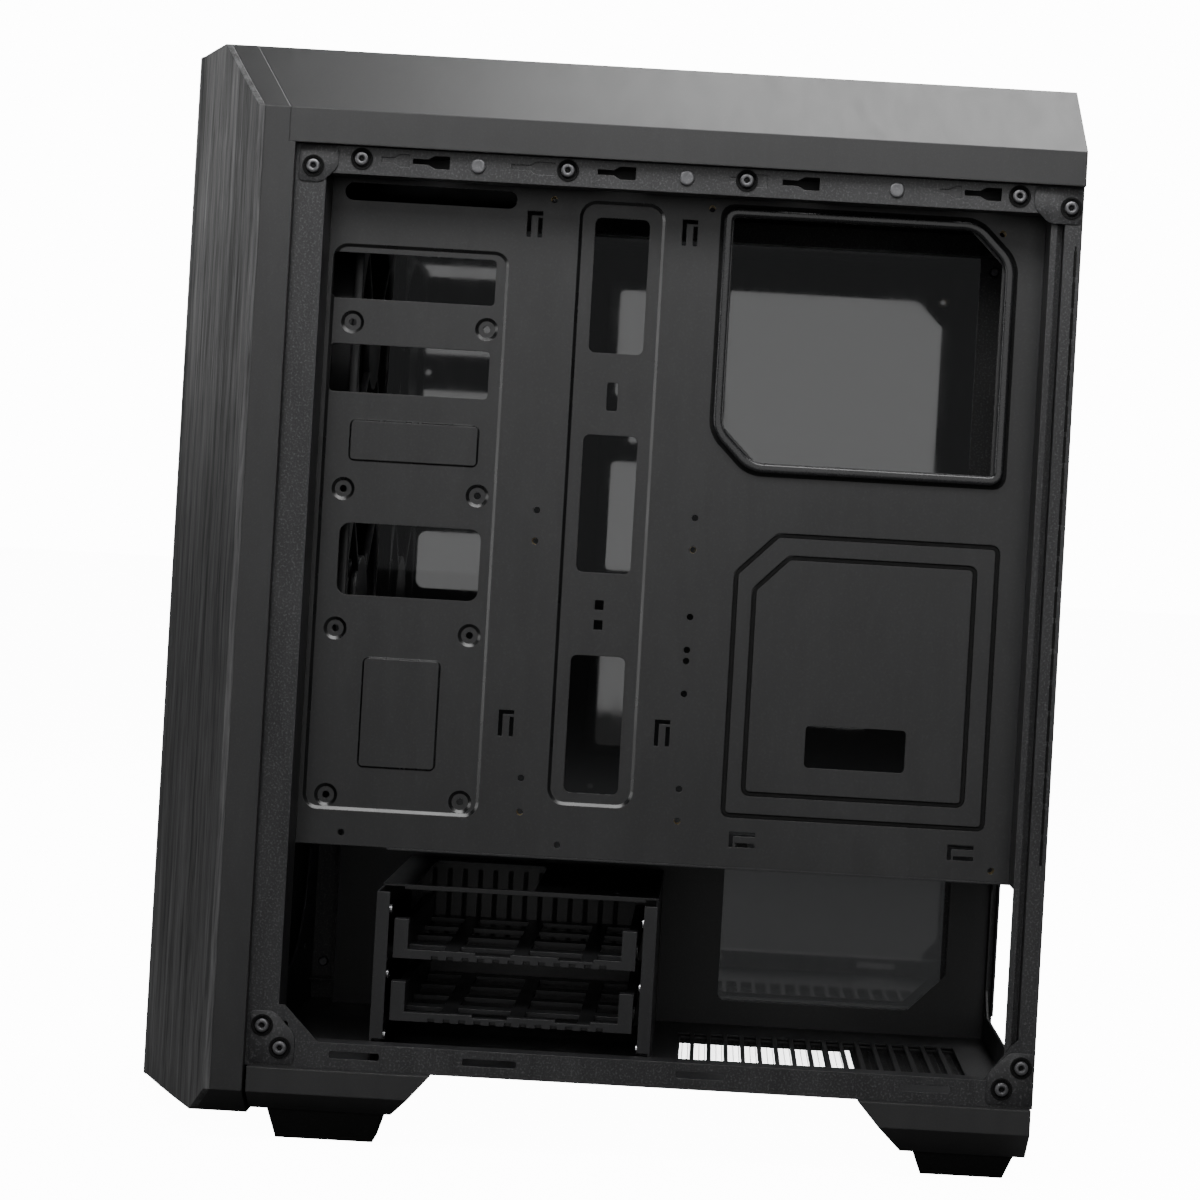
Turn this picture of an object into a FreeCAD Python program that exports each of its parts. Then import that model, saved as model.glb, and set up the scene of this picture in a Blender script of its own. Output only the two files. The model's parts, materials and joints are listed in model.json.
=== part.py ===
import FreeCAD, Part
import math
import os

# Empty mid-tower computer case, in millimetres.
# Front is -Y, rear is +Y, up is +Z. The right side (+X), behind the motherboard tray, stands open.
# The origin is on the floor, under the middle of the case.

# ---------------------------------------------------------------- driving dimensions
HALF_WIDTH = 103.0        # plastic trims reach this far to each side
FRONT_Y = -210.0          # nose of the front bezel
REAR_Y = 210.0            # rear edge of chassis and top cover
HEIGHT = 503.0            # flat top of the top cover

SHEET = 1.0               # chassis sheet thickness
OPEN_X = 98.0             # chassis outer face on the open side
GLASS_FACE_X = -96.0      # chassis outer face behind the glass
CHASSIS_FRONT = -146.0
CHASSIS_BOTTOM = 35.0
CHASSIS_TOP = 451.5
BOTTOM_RAIL_TOP = 47.0
TOP_RAIL_BOTTOM = 438.9
FRONT_POST_EDGE = -132.0
REAR_POST_EDGE = 202.0
TRAY_FACE = 76.0          # outer face of the motherboard tray
TRAY_SHEET = 1.2
TRAY_BOTTOM = 134.0
TRAY_REAR = 196.0
REAR_WALL = 205.0         # outer face of the recessed rear wall
SHROUD_X = -82.0          # power supply shroud, outer face
SHROUD_FRONT = -90.0
SHROUD_SIDE_FRONT = -131.0

RIDGE_Z = 467.0           # sharp ridge where the sloped shoulder starts
TOP_FLAT_HALF = 48.0      # half width of the flat top
BEZEL_BOTTOM = 11.0
BEZEL_LOW_EDGE = 24.0     # where the bezel's lower chamfer starts
BEZEL_SHOULDER_Y = -163.0  # vertical edge between side band and keeled front face
PLASTIC = 2.5             # wall of the plastic trims
FASCIA = 3.0              # thickness of the brushed front skin

FAN = 120.0               # fan frame side
FAN_DEPTH = 25.0
FAN_PITCH = 105.0         # fan screw spacing
FAN_X = -10.0             # centre line of the front fans
FAN_HEIGHTS = (370.0, 245.0, 120.0)
FAN_SCREW_R = 2.2

SLOT_PITCH = 20.32        # expansion slot pitch
SLOT_COUNT = 7
SLOT_FIRST_Z = 144.2
PSU_CENTRE_X = -5.0
PSU_BOTTOM = 44.5
PSU_SCREW_R = 2.0

CAGE_FRONT = -92.0        # drive cage, outer face of its front wall
CAGE_REAR = 36.0
CAGE_NEAR = 86.0
CAGE_FAR = -61.0
CAGE_TOP = 116.0
CAGE_ROOF_EDGE = 62.0     # the cage roof stops short of the open side
DRIVE_MIDDLE_Y = -28.2
DRIVE_WIDTH = 101.6
SLED_FLOORS = (56.3, 84.9)  # undersides of the two drive sleds
SLED_NEAR = 84.0
SLED_FAR = -58.0

GLASS_SHEET = 4.0
GLASS_GAP = 0.5
GLASS_HOLES = ((-138.4, 432.0), (189.4, 432.0), (-138.4, 55.0), (189.4, 55.0))

ROD = 60                  # far longer than any sheet is thick
AXES = {"x": (1, 2), "y": (0, 2), "z": (0, 1)}


# ---------------------------------------------------------------- helpers
def point(plane, u, v, offset):
    """Place the plane's own (u, v) in space, at an offset along its normal."""
    place = [offset, offset, offset]
    place[AXES[plane][0]] = u
    place[AXES[plane][1]] = v
    return FreeCAD.Vector(*place)


def box(x0, x1, y0, y1, z0, z1):
    """Make a block from its limits along each axis."""
    return Part.makeBox(x1 - x0, y1 - y0, z1 - z0, FreeCAD.Vector(x0, y0, z0))


def rect(u0, u1, v0, v1):
    """Give the corners of a rectangle, anticlockwise."""
    return [(u0, v0), (u1, v0), (u1, v1), (u0, v1)]


def clipped(u0, u1, v0, v1, cut, corners):
    """Give a rectangle's corners, with the named ones clipped off: ll, lr, ur, ul."""
    outline = []
    for name, u, v, du, dv in (("ll", u0, v0, 1, 1), ("lr", u1, v0, -1, 1),
                               ("ur", u1, v1, -1, -1), ("ul", u0, v1, 1, -1)):
        pair = [(u, v + dv * cut), (u + du * cut, v)]
        if name in ("lr", "ul"):
            pair.reverse()
        outline += pair if name in corners else [(u, v)]
    return outline


def outline_wire(plane, corners, offset, radius):
    """Make a closed wire through the corners, each rounded to the radius."""
    count = len(corners)
    edges, ends = [], []
    for i in range(count):
        here = FreeCAD.Vector(corners[i][0], corners[i][1], 0)
        back = FreeCAD.Vector(corners[i - 1][0], corners[i - 1][1], 0) - here
        ahead = FreeCAD.Vector(*corners[(i + 1) % count], 0) - here
        back.normalize()
        ahead.normalize()
        half = back.getAngle(ahead) / 2
        reach = radius / math.tan(half)
        bisector = (back + ahead).normalize()
        middle = here + bisector * (radius / math.sin(half) - radius)
        ends.append((here + back * reach, middle, here + ahead * reach))
    for i in range(count):
        start, middle, end = (point(plane, p.x, p.y, offset) for p in ends[i])
        nxt = ends[(i + 1) % count][0]
        nxt = point(plane, nxt.x, nxt.y, offset)
        if radius > 0:
            edges.append(Part.Arc(start, middle, end).toShape())
        if (nxt - end).Length > 1e-6:
            edges.append(Part.LineSegment(end, nxt).toShape())
    return Part.Wire(edges)


def plate(plane, corners, start, end, radius=0.0):
    """Make a flat plate of the given outline, between two offsets along its normal."""
    face = Part.Face(outline_wire(plane, corners, start, radius))
    return face.extrude(point(plane, 0, 0, end) - point(plane, 0, 0, start))


def disc(plane, u, v, start, end, radius):
    """Make a cylinder across a plane, between two offsets along its normal."""
    normal = point(plane, 0, 0, 1)
    return Part.makeCylinder(radius, abs(end - start), point(plane, u, v, min(start, end)), normal)


def fused(shapes):
    """Join solids into one."""
    return shapes[0].fuse(shapes[1:]).removeSplitter()


def groove(corners, radius, width, depth):
    """Make the cutter for a groove pressed into the tray's outer face, inside an outline."""
    low = TRAY_FACE - depth
    outer = Part.Face(outline_wire("x", corners, low, radius))
    inner = outer.makeOffset2D(-width)
    return outer.cut(inner).extrude(FreeCAD.Vector(ROD, 0, 0))


def save(name, shape):
    """Write one node."""
    shape.exportStep("parts/" + name + ".step")
    print(name, len(shape.Solids), "solids, valid", shape.isValid())


# ---------------------------------------------------------------- chassis frame
def bottom_pan():
    """Floor of the chassis, with the long intake slots under the power supply."""
    pan = box(GLASS_FACE_X + SHEET, OPEN_X - SHEET, CHASSIS_FRONT + SHEET, REAR_Y - SHEET,
              CHASSIS_BOTTOM, CHASSIS_BOTTOM + SHEET)
    slots, start, pitch, width = 17, 48.0, 8.25, 6.2
    cuts = []
    for i in range(slots):
        y = start + i * pitch
        cuts.append(box(-50, 40, y, y + width, 0, ROD))
    return pan.cut(cuts)


def bottle_slot(y0, y1, z):
    """Outline a hook slot in the top rail: a narrow neck to the front, a wide mouth behind."""
    neck, mouth = 1.2, 2.9
    waist = y0 + 0.42 * (y1 - y0)
    return [(y0, z - neck), (waist, z - neck), (waist + 3, z - mouth), (y1, z - mouth),
            (y1, z + mouth), (waist + 3, z + mouth), (waist, z + neck), (y0, z + neck)]


TOP_HOOKS = ((-93.4, -76.7), (-9.8, 7.4), (73.8, 90.5), (156.0, 172.7))
TOP_SHALLOWS = ((-107.4, -94.8), (-48.7, -29.2), (49.9, 67.0), (145.0, 154.5))
TOP_SCREWS = (-116.4, -23.3, 57.6, 180.9)
TOP_RIVETS = (-63.9, 30.5, 125.4)
BOTTOM_SLOTS = ((-108.3, -85.7), (-48.1, -23.7), (48.7, 70.4), (149.8, 172.4))
TOP_ROW_Z = 445.6
LIP = 9.0                 # inward fold along each rail


def rail(face, inner, z0, z1, lip_z):
    """Make one long side rail: an upright flange and an inward lip."""
    low, high = min(face, inner), max(face, inner)
    flange = box(low, high, CHASSIS_FRONT, REAR_Y, z0, z1)
    step = -1 if face > inner else 1
    tip = inner + step * LIP
    lip = box(min(tip, inner), max(tip, inner), CHASSIS_FRONT + 2 * SHEET, REAR_WALL - SHEET,
              lip_z, lip_z + SHEET)
    return fused([flange, lip])


def right_top_rail():
    """Top rail of the open side, with hook slots, screw holes and pressed shallow slots."""
    shape = rail(OPEN_X, OPEN_X - SHEET, TOP_RAIL_BOTTOM, CHASSIS_TOP, TOP_RAIL_BOTTOM)
    cuts = [plate("x", bottle_slot(y0, y1, TOP_ROW_Z + 0.6), 90, 110) for y0, y1 in TOP_HOOKS]
    cuts += [plate("x", bottle_slot(y0, y1, TOP_ROW_Z + 0.6), OPEN_X - 0.5, 110)
             for y0, y1 in TOP_SHALLOWS]
    return shape.cut(cuts)


def right_bottom_rail():
    """Bottom rail of the open side, with the side panel's tab slots."""
    shape = rail(OPEN_X, OPEN_X - SHEET, CHASSIS_BOTTOM, BOTTOM_RAIL_TOP, BOTTOM_RAIL_TOP - SHEET)
    return shape.cut([plate("x", rect(y0, y1, 40.0, 43.2), 90, 110, 1.0) for y0, y1 in BOTTOM_SLOTS])


def left_rail(z0, z1, lip_z):
    """Make a plain rail behind the glass."""
    return rail(GLASS_FACE_X, GLASS_FACE_X + SHEET, z0, z1, lip_z)


def right_front_post():
    """Front post of the open side: a flange with a corner gusset, and a return to the tray."""
    y0, y1 = CHASSIS_FRONT, FRONT_POST_EDGE
    corners = [(OPEN_X, y0), (OPEN_X, y1), (TRAY_FACE, y1), (TRAY_FACE, y1 - SHEET),
               (OPEN_X - SHEET, y1 - SHEET), (OPEN_X - SHEET, y0)]
    post = plate("z", corners, BOTTOM_RAIL_TOP, TOP_RAIL_BOTTOM)
    low = BOTTOM_RAIL_TOP
    gusset = plate("x", [(y1, low), (y1 + 18.5, low), (y1 + 2.7, low + 16), (y1, low + 16)],
                   OPEN_X - SHEET, OPEN_X)
    return fused([post, gusset]).cut(disc("x", y1 + 3.2, low + 7.3, 90, 110, 1.4))


def left_front_post():
    """Front post behind the glass."""
    y0, y1, x = CHASSIS_FRONT, FRONT_POST_EDGE, GLASS_FACE_X
    corners = [(x, y0), (x + SHEET, y0), (x + SHEET, y1 - SHEET), (x + LIP, y1 - SHEET),
               (x + LIP, y1), (x, y1)]
    post = plate("z", corners, BOTTOM_RAIL_TOP, TOP_RAIL_BOTTOM)
    return post.cut(glass_screw_holes())


def right_rear_post():
    """Rear post of the open side: flange and gusset, deep groove, thin lip, and return to the tray."""
    y, x, low = REAR_POST_EDGE, OPEN_X, BOTTOM_RAIL_TOP
    gusset = plate("x", [(y - 15, low), (y, low), (y, low + 19), (y - 2.5, low + 16.5)], x - SHEET, x)
    pieces = [gusset,
              box(x - SHEET, x, y, REAR_Y, BOTTOM_RAIL_TOP, TOP_RAIL_BOTTOM),
              box(x - 9, x - SHEET, y, y + SHEET, BOTTOM_RAIL_TOP, TOP_RAIL_BOTTOM),
              box(x - 9, x - 8, y - 4, y, BOTTOM_RAIL_TOP, TOP_RAIL_BOTTOM),
              box(x - 8, x - 2, y - 4, y - 3, BOTTOM_RAIL_TOP, TOP_RAIL_BOTTOM),
              box(x - 3, x - 2, y - 6, y - 4, BOTTOM_RAIL_TOP, TOP_RAIL_BOTTOM),
              box(TRAY_FACE, x - 3, y - 6, y - 5, TRAY_BOTTOM, TOP_RAIL_BOTTOM),
              box(x - 8, x - SHEET, REAR_Y - SHEET, REAR_Y, BOTTOM_RAIL_TOP, TOP_RAIL_BOTTOM)]
    return fused(pieces).cut(disc("x", y - 5.5, low + 6, 90, 110, 1.4))


def left_rear_post():
    """Rear post behind the glass, folded in along the rear edge."""
    x = GLASS_FACE_X
    pieces = [box(x, x + SHEET, TRAY_REAR - 14, REAR_Y, BOTTOM_RAIL_TOP, TOP_RAIL_BOTTOM),
              box(x + SHEET, x + 8, REAR_Y - SHEET, REAR_Y, BOTTOM_RAIL_TOP, TOP_RAIL_BOTTOM)]
    return fused(pieces).cut(glass_screw_holes())


def glass_screw_holes():
    """Give the cutters for the four thumbscrews that hold the glass."""
    return [disc("x", y, z, GLASS_FACE_X - 1, GLASS_FACE_X + SHEET + 1, 2.6) for y, z in GLASS_HOLES]


def fan_cutters(plane, u, v, start, end):
    """Give the cutters for one 120 mm fan: its round opening and four screw holes."""
    half = FAN_PITCH / 2
    cuts = [disc(plane, u, v, start, end, 57.0)]
    cuts += [disc(plane, u + a * half, v + b * half, start, end, FAN_SCREW_R)
             for a in (-1, 1) for b in (-1, 1)]
    return cuts


def front_panel():
    """Inner front sheet with three fan openings, and a pass-through for the front cables."""
    y0, y1 = CHASSIS_FRONT + SHEET, CHASSIS_FRONT + 2 * SHEET
    sheet = plate("y", rect(GLASS_FACE_X + SHEET, OPEN_X - SHEET, 36.0, CHASSIS_TOP - SHEET), y0, y1)
    cuts = [plate("y", rect(60, 74, 60, 120), y0 - 1, y1 + 1, 3.0)]
    for z in FAN_HEIGHTS:
        cuts += fan_cutters("y", FAN_X, z, y0 - 1, y1 + 1)
    return sheet.cut(cuts)


def slot_centres():
    """Give the expansion slots' heights, from the lowest up."""
    return [SLOT_FIRST_Z + i * SLOT_PITCH for i in range(SLOT_COUNT)]


def psu_screws():
    """Give the four standard power supply screw places on the rear wall."""
    x, z = PSU_CENTRE_X, PSU_BOTTOM
    return [(x - 69, z + 6), (x + 69, z + 6), (x + 69, z + 70), (x - 45, z + 80)]


REAR_FAN_X, REAR_FAN_Z = -34.0, 366.0


def rear_panel():
    """Recessed rear wall: connector opening, expansion slots, fan vent and power supply opening."""
    y0, y1 = REAR_WALL - SHEET, REAR_WALL
    sheet = plate("y", rect(GLASS_FACE_X + SHEET, OPEN_X - SHEET, 36.0, CHASSIS_TOP - SHEET), y0, y1)
    reach = (y0 - 1, y1 + 1)
    cuts = [plate("y", rect(26.2, 70.7, 276.3, 435.0), *reach, 1.0)]
    cuts += [plate("y", rect(-38, 64, z - 6.5, z + 6.5), *reach, 1.0) for z in slot_centres()]
    cuts += [disc("y", -50, z, *reach, 1.6) for z in slot_centres()]
    tabs = [disc("y", x, z, *reach, 5.5) for x, z in psu_screws()]
    opening = clipped(PSU_CENTRE_X - 70, PSU_CENTRE_X + 70, 50, 125.5, 12, ("ll", "lr", "ur", "ul"))
    cuts.append(plate("y", opening, *reach).cut(tabs))
    cuts += [disc("y", x, z, *reach, PSU_SCREW_R) for x, z in psu_screws()]
    cross = [box(REAR_FAN_X - 2, REAR_FAN_X + 2, 190, 220, 300, 440),
             box(REAR_FAN_X - 70, REAR_FAN_X + 70, 190, 220, REAR_FAN_Z - 2, REAR_FAN_Z + 2)]
    for outer, inner in ((56, 47), (44, 35), (32, 23), (20, 11)):
        ring = disc("y", REAR_FAN_X, REAR_FAN_Z, *reach, outer)
        ring = ring.cut(disc("y", REAR_FAN_X, REAR_FAN_Z, *reach, inner))
        cuts.append(ring.cut(cross))
    half = FAN_PITCH / 2
    cuts += [disc("y", REAR_FAN_X + a * half, REAR_FAN_Z + b * half, *reach, FAN_SCREW_R)
             for a in (-1, 1) for b in (-1, 1)]
    return sheet.cut(cuts)


def top_panel():
    """Inner roof sheet with two fan openings under the top cover."""
    sheet = plate("z", rect(GLASS_FACE_X + SHEET, OPEN_X - SHEET, CHASSIS_FRONT + SHEET, REAR_Y - SHEET),
                  CHASSIS_TOP - SHEET, CHASSIS_TOP)
    cuts = [plate("z", rect(-40, 20, -138, -122), 440, 460, 3.0)]
    for y in (-5.0, 125.0):
        cuts += fan_cutters("z", FAN_X, y, 440, 460)
    return sheet.cut(cuts)


# ---------------------------------------------------------------- motherboard tray
STANDOFF_PLACES = ((-30.0, 435.3), (42.6, 435.3), (176.4, 431.3), (-30.0, 278.4), (42.6, 278.4),
                   (-30.0, 153.8), (42.4, 153.8), (187.5, 139.1))
SPARE_HOLES = ((42.7, 293.1), (-30.0, 292.6), (43.0, 247.6), (42.4, 232.4), (42.3, 227.3),
               (42.2, 212.2), (42.4, 168.5), (-30.3, 169.4), (-111.3, 139.9), (-12.0, 139.6))
SSD_COLUMNS = (-119.5, -57.8)
SSD_ROWS = (374.1, 297.5, 233.3, 156.7)
TIE_POINTS = ((-38.4, 423.6), (32.9, 423.6), (-38.6, 194.2), (33.2, 193.7))
LOW_TIE_POINTS = ((72.6, 146.8), (172.9, 146.5))
PRESS_DEPTH = 0.9         # how far a field is pressed back from the tray's face
PRESS_SLOPE = 1.5         # width of a pressed field's sloped wall, seen square on
ISLAND_SLOPE = 0.9
BOSS_FLOOR = 3.8          # radius of the flat at the bottom of a dished drive boss
GROOVE_DEPTH = 0.8
OUTWARD = FreeCAD.Vector(1, 0, 0)
CPU_RIM = (48.2, 182.7, 315.3, 436.4)
CPU_OPENING = (53.0, 177.0, 320.0, 433.0)


def tray_windows():
    """Give the cutters for every cable opening through the tray."""
    low, high = TRAY_FACE - 2 * TRAY_SHEET - 1, TRAY_FACE + 1
    cuts = [plate("x", rect(-126, -47, 430, 438), low, high, 3.9),
            plate("x", rect(-129.4, -54.9, 385, 406), low, high, 2.0),
            plate("x", rect(-128.7, -55.7, 342, 364), low, high, 2.0),
            plate("x", rect(-120, -55, 249, 282), low, high, 5.0),
            plate("x", rect(99, 145, 181.5, 201), low, high, 2.0),
            plate("x", rect(-1, 4, 340, 353), low, high, 1.0),
            plate("x", clipped(*CPU_OPENING, 16, ("ll", "ur")), low, high)]
    cuts += [plate("x", rect(-10.6, 14.4, z0, z1), low, high, 3.0)
             for z0, z1 in ((366.4, 428.4), (265.5, 328.7), (164.0, 227.3))]
    cuts += [plate("x", rect(1 - 2, 1 + 2, z - 2.2, z + 2.2), low, high) for z in (250.7, 241.5)]
    cuts += [disc("x", y, z, low, high, 1.5) for y, z in STANDOFF_PLACES + SPARE_HOLES]
    for y, z in TIE_POINTS:
        cuts += [box(low, high, y - 3.5, y - 1.6, z - 6, z + 6), box(low, high, y + 1.6, y + 3.5, z - 6, z + 3),
                 box(low, high, y - 3.5, y + 3.5, z + 4.1, z + 6)]
    for y, z in LOW_TIE_POINTS:
        cuts += [box(low, high, y - 6, y + 6, z + 1.6, z + 3.5), box(low, high, y - 3, y + 6, z - 3.5, z - 1.6),
                 box(low, high, y - 6, y - 4.1, z - 3.5, z + 3.5)]
    return cuts


def frustum(edges, radius, top):
    """Make a solid with sloped walls that narrows inwards from the tray's outer face."""
    u0, u1, v0, v1 = edges
    wide = outline_wire("x", rect(u0, u1, v0, v1), top, radius)
    narrow = outline_wire("x", rect(u0 + PRESS_SLOPE, u1 - PRESS_SLOPE, v0 + PRESS_SLOPE, v1 - PRESS_SLOPE),
                          top - PRESS_DEPTH, radius - PRESS_SLOPE)
    return Part.makeLoft([wide, narrow], True)


def island(edges, radius):
    """Make the solid with sloped walls that stands up inside a pressed field."""
    u0, u1, v0, v1 = edges
    low, high = TRAY_FACE - PRESS_DEPTH, TRAY_FACE - 0.2
    base = outline_wire("x", rect(u0, u1, v0, v1), low, radius + PRESS_SLOPE)
    crown = outline_wire("x", rect(u0 + ISLAND_SLOPE, u1 - ISLAND_SLOPE, v0 + ISLAND_SLOPE, v1 - ISLAND_SLOPE),
                         high, radius)
    return Part.makeLoft([base, crown], True)


def tray_pressings():
    """Make the volume pressed into the tray: sunk fields, dished drive bosses, and raised islands left out."""
    fields = [frustum((-130, -49, 150, 410), 7.0, TRAY_FACE), frustum((-18, 21.5, 158, 436), 8.0, TRAY_FACE)]
    sunk = fields[0]
    for y in SSD_COLUMNS:
        for z in SSD_ROWS:
            sunk = sunk.fuse(Part.makeCone(BOSS_FLOOR, BOSS_FLOOR + PRESS_SLOPE, PRESS_DEPTH,
                                           FreeCAD.Vector(TRAY_FACE - 2 * PRESS_DEPTH, y, z), OUTWARD))
    for label in ((-118, -58.4, 310.4, 329.8), (-106, -70, 170, 221)):
        sunk = sunk.cut(island(label, 1.5))
    return sunk.fuse(fields[1])


def tray_grooves():
    """Give the cutters for the narrow outlines and for the drive screw holes."""
    cuts = [groove(clipped(62, 183.5, 156.7, 288.4, 19, ("ul",)), 4.0, 2.2, GROOVE_DEPTH),
            groove(clipped(70.7, 173.6, 167, 278.4, 16, ("ul",)), 4.0, 2.2, GROOVE_DEPTH)]
    for y in SSD_COLUMNS:
        cuts += [disc("x", y, z, TRAY_FACE - 5, TRAY_FACE + 1, 1.6) for z in SSD_ROWS]
    return cuts


def motherboard_tray():
    """Upright tray with cable openings, pressed fields, drive bosses and tie points."""
    low = TRAY_FACE - TRAY_SHEET
    sheet = plate("x", rect(FRONT_POST_EDGE, TRAY_REAR, TRAY_BOTTOM, CHASSIS_TOP - SHEET), low, TRAY_FACE)
    pressed = tray_pressings()
    pushed_out = pressed.translated(FreeCAD.Vector(-TRAY_SHEET, 0, 0))
    return sheet.fuse(pushed_out).cut(pressed).cut(tray_windows()).cut(tray_grooves())


def cpu_cutout_trim():
    """Rolled edge around the large cooler opening."""
    outer = plate("x", clipped(*CPU_RIM, 19, ("ll", "ur")), TRAY_FACE, TRAY_FACE + 3.2, 2.0)
    inner = plate("x", clipped(*CPU_OPENING, 16, ("ll", "ur")), TRAY_FACE - 1, TRAY_FACE + 5)
    ring = outer.cut(inner)
    crown = [e for e in ring.Edges if e.BoundBox.XMin > TRAY_FACE + 3.1]
    return ring.makeFillet(1.2, crown)


def board_standoffs():
    """Threaded posts that carry the motherboard."""
    posts = []
    for y, z in STANDOFF_PLACES:
        post = disc("x", y, z, TRAY_FACE - TRAY_SHEET - 6.5, TRAY_FACE - TRAY_SHEET, 2.9)
        posts.append(post.cut(disc("x", y, z, 0, TRAY_FACE, 1.45)))
    return Part.makeCompound(posts)


# ---------------------------------------------------------------- power supply shroud
def psu_shroud_top():
    """Shelf over the power supply, with three cable slots along the tray."""
    shelf = plate("z", rect(SHROUD_X, TRAY_FACE, SHROUD_FRONT, REAR_WALL - SHEET),
                  TRAY_BOTTOM - SHEET, TRAY_BOTTOM)
    cuts = [plate("z", rect(48, 66, y, y + 46), 120, 140, 4.0) for y in (-50.0, 40.0, 120.0)]
    cuts += [plate("z", rect(-66, 30, y, y + 5), 120, 140, 2.4) for y in range(60, 180, 12)]
    return shelf.cut(cuts)


def psu_shroud_side():
    """Side sheet of the shroud, behind the glass, with its large clipped window."""
    sheet = plate("x", rect(SHROUD_SIDE_FRONT, REAR_WALL - SHEET, 36, TRAY_BOTTOM - SHEET),
                  SHROUD_X, SHROUD_X + SHEET)
    window = plate("x", clipped(67, 183.5, 48.5, 122, 19, ("lr",)), SHROUD_X - 5, SHROUD_X + 5, 4.0)
    return sheet.cut(window)


# ---------------------------------------------------------------- drive cage and sleds
CAGE_FLOOR = CHASSIS_BOTTOM + SHEET
RUNNER = 5.0              # how far the runners stand in from the cage walls


def cage_wall(outer, inner, flange_tip):
    """Make one cage wall with its near fold and the two runners that a sled slides on."""
    low, high = min(outer, inner), max(outer, inner)
    pieces = [box(CAGE_FAR, CAGE_NEAR, low, high, CAGE_FLOOR, CAGE_TOP - SHEET),
              box(CAGE_NEAR - SHEET, CAGE_NEAR, min(flange_tip, low), max(flange_tip, high),
                  BOTTOM_RAIL_TOP + 1, CAGE_TOP - SHEET)]
    step = 1 if inner > outer else -1
    tip = inner + step * RUNNER
    for floor in SLED_FLOORS:
        pieces.append(box(CAGE_FAR + SHEET, CAGE_NEAR - 4, min(inner, tip), max(inner, tip),
                          floor - 1.8, floor - 0.3))
    return fused(pieces)


def cage_front_wall():
    """Drive cage wall next to the front fans."""
    return cage_wall(CAGE_FRONT, CAGE_FRONT + SHEET, CAGE_FRONT + 6)


def cage_rear_wall():
    """Drive cage wall next to the power supply."""
    return cage_wall(CAGE_REAR, CAGE_REAR - SHEET, CAGE_REAR - 6)


def cage_top():
    """Roof of the drive cage, with its wide opening and two stiffening grooves."""
    z0, z1 = CAGE_TOP - SHEET, CAGE_TOP
    sheet = plate("z", rect(CAGE_FAR, CAGE_ROOF_EDGE, CAGE_FRONT, CAGE_REAR), z0, z1)
    hem = box(CAGE_ROOF_EDGE - SHEET, CAGE_ROOF_EDGE, -82, 30, z0 - 1.2, z0)
    cuts = [plate("z", rect(-46, CAGE_ROOF_EDGE - 2.5, -78, -22), z0 - 1, z1 + 1, 2.0),
            box(-40, 55, -10, -8.6, z1 - 0.5, z1 + 1),
            box(-40, 55, 2, 3.4, z1 - 0.5, z1 + 1),
            disc("z", 50, 16, z0 - 1, z1 + 1, 1.8)]
    return fused([sheet, hem]).cut(cuts)


def cage_back():
    """Far wall of the drive cage: a comb of upright slats."""
    sheet = plate("x", rect(CAGE_FRONT + SHEET, CAGE_REAR - SHEET, CAGE_FLOOR, CAGE_TOP - SHEET),
                  CAGE_FAR, CAGE_FAR + SHEET)
    cuts = []
    for i in range(14):
        y = -88.5 + i * 7.7
        cuts.append(plate("x", rect(y, y + 2.2, 74, 111), CAGE_FAR - 1, CAGE_FAR + 3, 1.0))
    return sheet.cut(cuts)


def drive_cage_screws():
    """Plated shoulder screws inside the cage's near folds, above, between and below the sleds."""
    screws = []
    for z in (106.4, 76.9, 48.9):
        for wall, step in ((CAGE_FRONT + SHEET, 1), (CAGE_REAR - SHEET, -1)):
            head = disc("y", 80, z, wall, wall + step * 3.2, 3.1)
            tip = disc("y", 80, z, wall + step * 3.2, wall + step * 5.6, 2.2)
            screws.append(fused([head, tip]))
    return Part.makeCompound(screws)


def drive_sled(floor):
    """Slide-out drive sled: ladder floor, two side walls and a notched front bar with grips."""
    half = DRIVE_WIDTH / 2
    mid = DRIVE_MIDDLE_Y
    pieces = []
    for side in (-1, 1):
        inner, outer = mid + side * (half + 0.2), mid + side * (half + 4.6)
        pieces.append(box(SLED_FAR, SLED_NEAR - 4, min(inner, outer), max(inner, outer), floor, floor + 13))
        grip = mid + side * (half + 4.6)
        tip = mid + side * (half - 2.0)
        pieces.append(box(SLED_NEAR - 6, SLED_NEAR, min(grip, tip), max(grip, tip), floor, floor + 18))
    low, high = mid - half - 0.2, mid + half + 0.2
    pieces.append(box(SLED_NEAR - 4, SLED_NEAR, low, high, floor, floor + 4.2))
    for x in (SLED_FAR, -24.0, 10.0, 44.0):
        pieces.append(box(x, x + 9, low, high, floor, floor + 2.2))
    for y in (-62.0, -30.0, 2.0):
        pieces.append(box(SLED_FAR + 9, SLED_NEAR - 4, y, y + 7, floor, floor + 2.2))
    sled = fused(pieces)
    notches = [box(SLED_NEAR - 2, SLED_NEAR + 1, y, y + 3, floor - 1, floor + 1.6)
               for y in [-66 + 7.0 * i for i in range(12)]]
    bites = [box(SLED_NEAR - 5, SLED_NEAR + 1, y, y + 16, floor + 3.0, floor + 5) for y in (-46.0, -8.0)]
    return sled.cut(notches + bites)


def sled_dampers(floor):
    """Rubber bushes in the sled's side walls, where the drive's screws go."""
    bushes = []
    for side in (-1, 1):
        inner = DRIVE_MIDDLE_Y + side * (DRIVE_WIDTH / 2 + 4.6)
        outer = DRIVE_MIDDLE_Y + side * (DRIVE_WIDTH / 2 + 5.3)
        for x in (-28.0, 13.6, 73.6):
            bushes.append(disc("y", x, floor + 7.0, inner, outer, 3.6))
    return Part.makeCompound(bushes)


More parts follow.
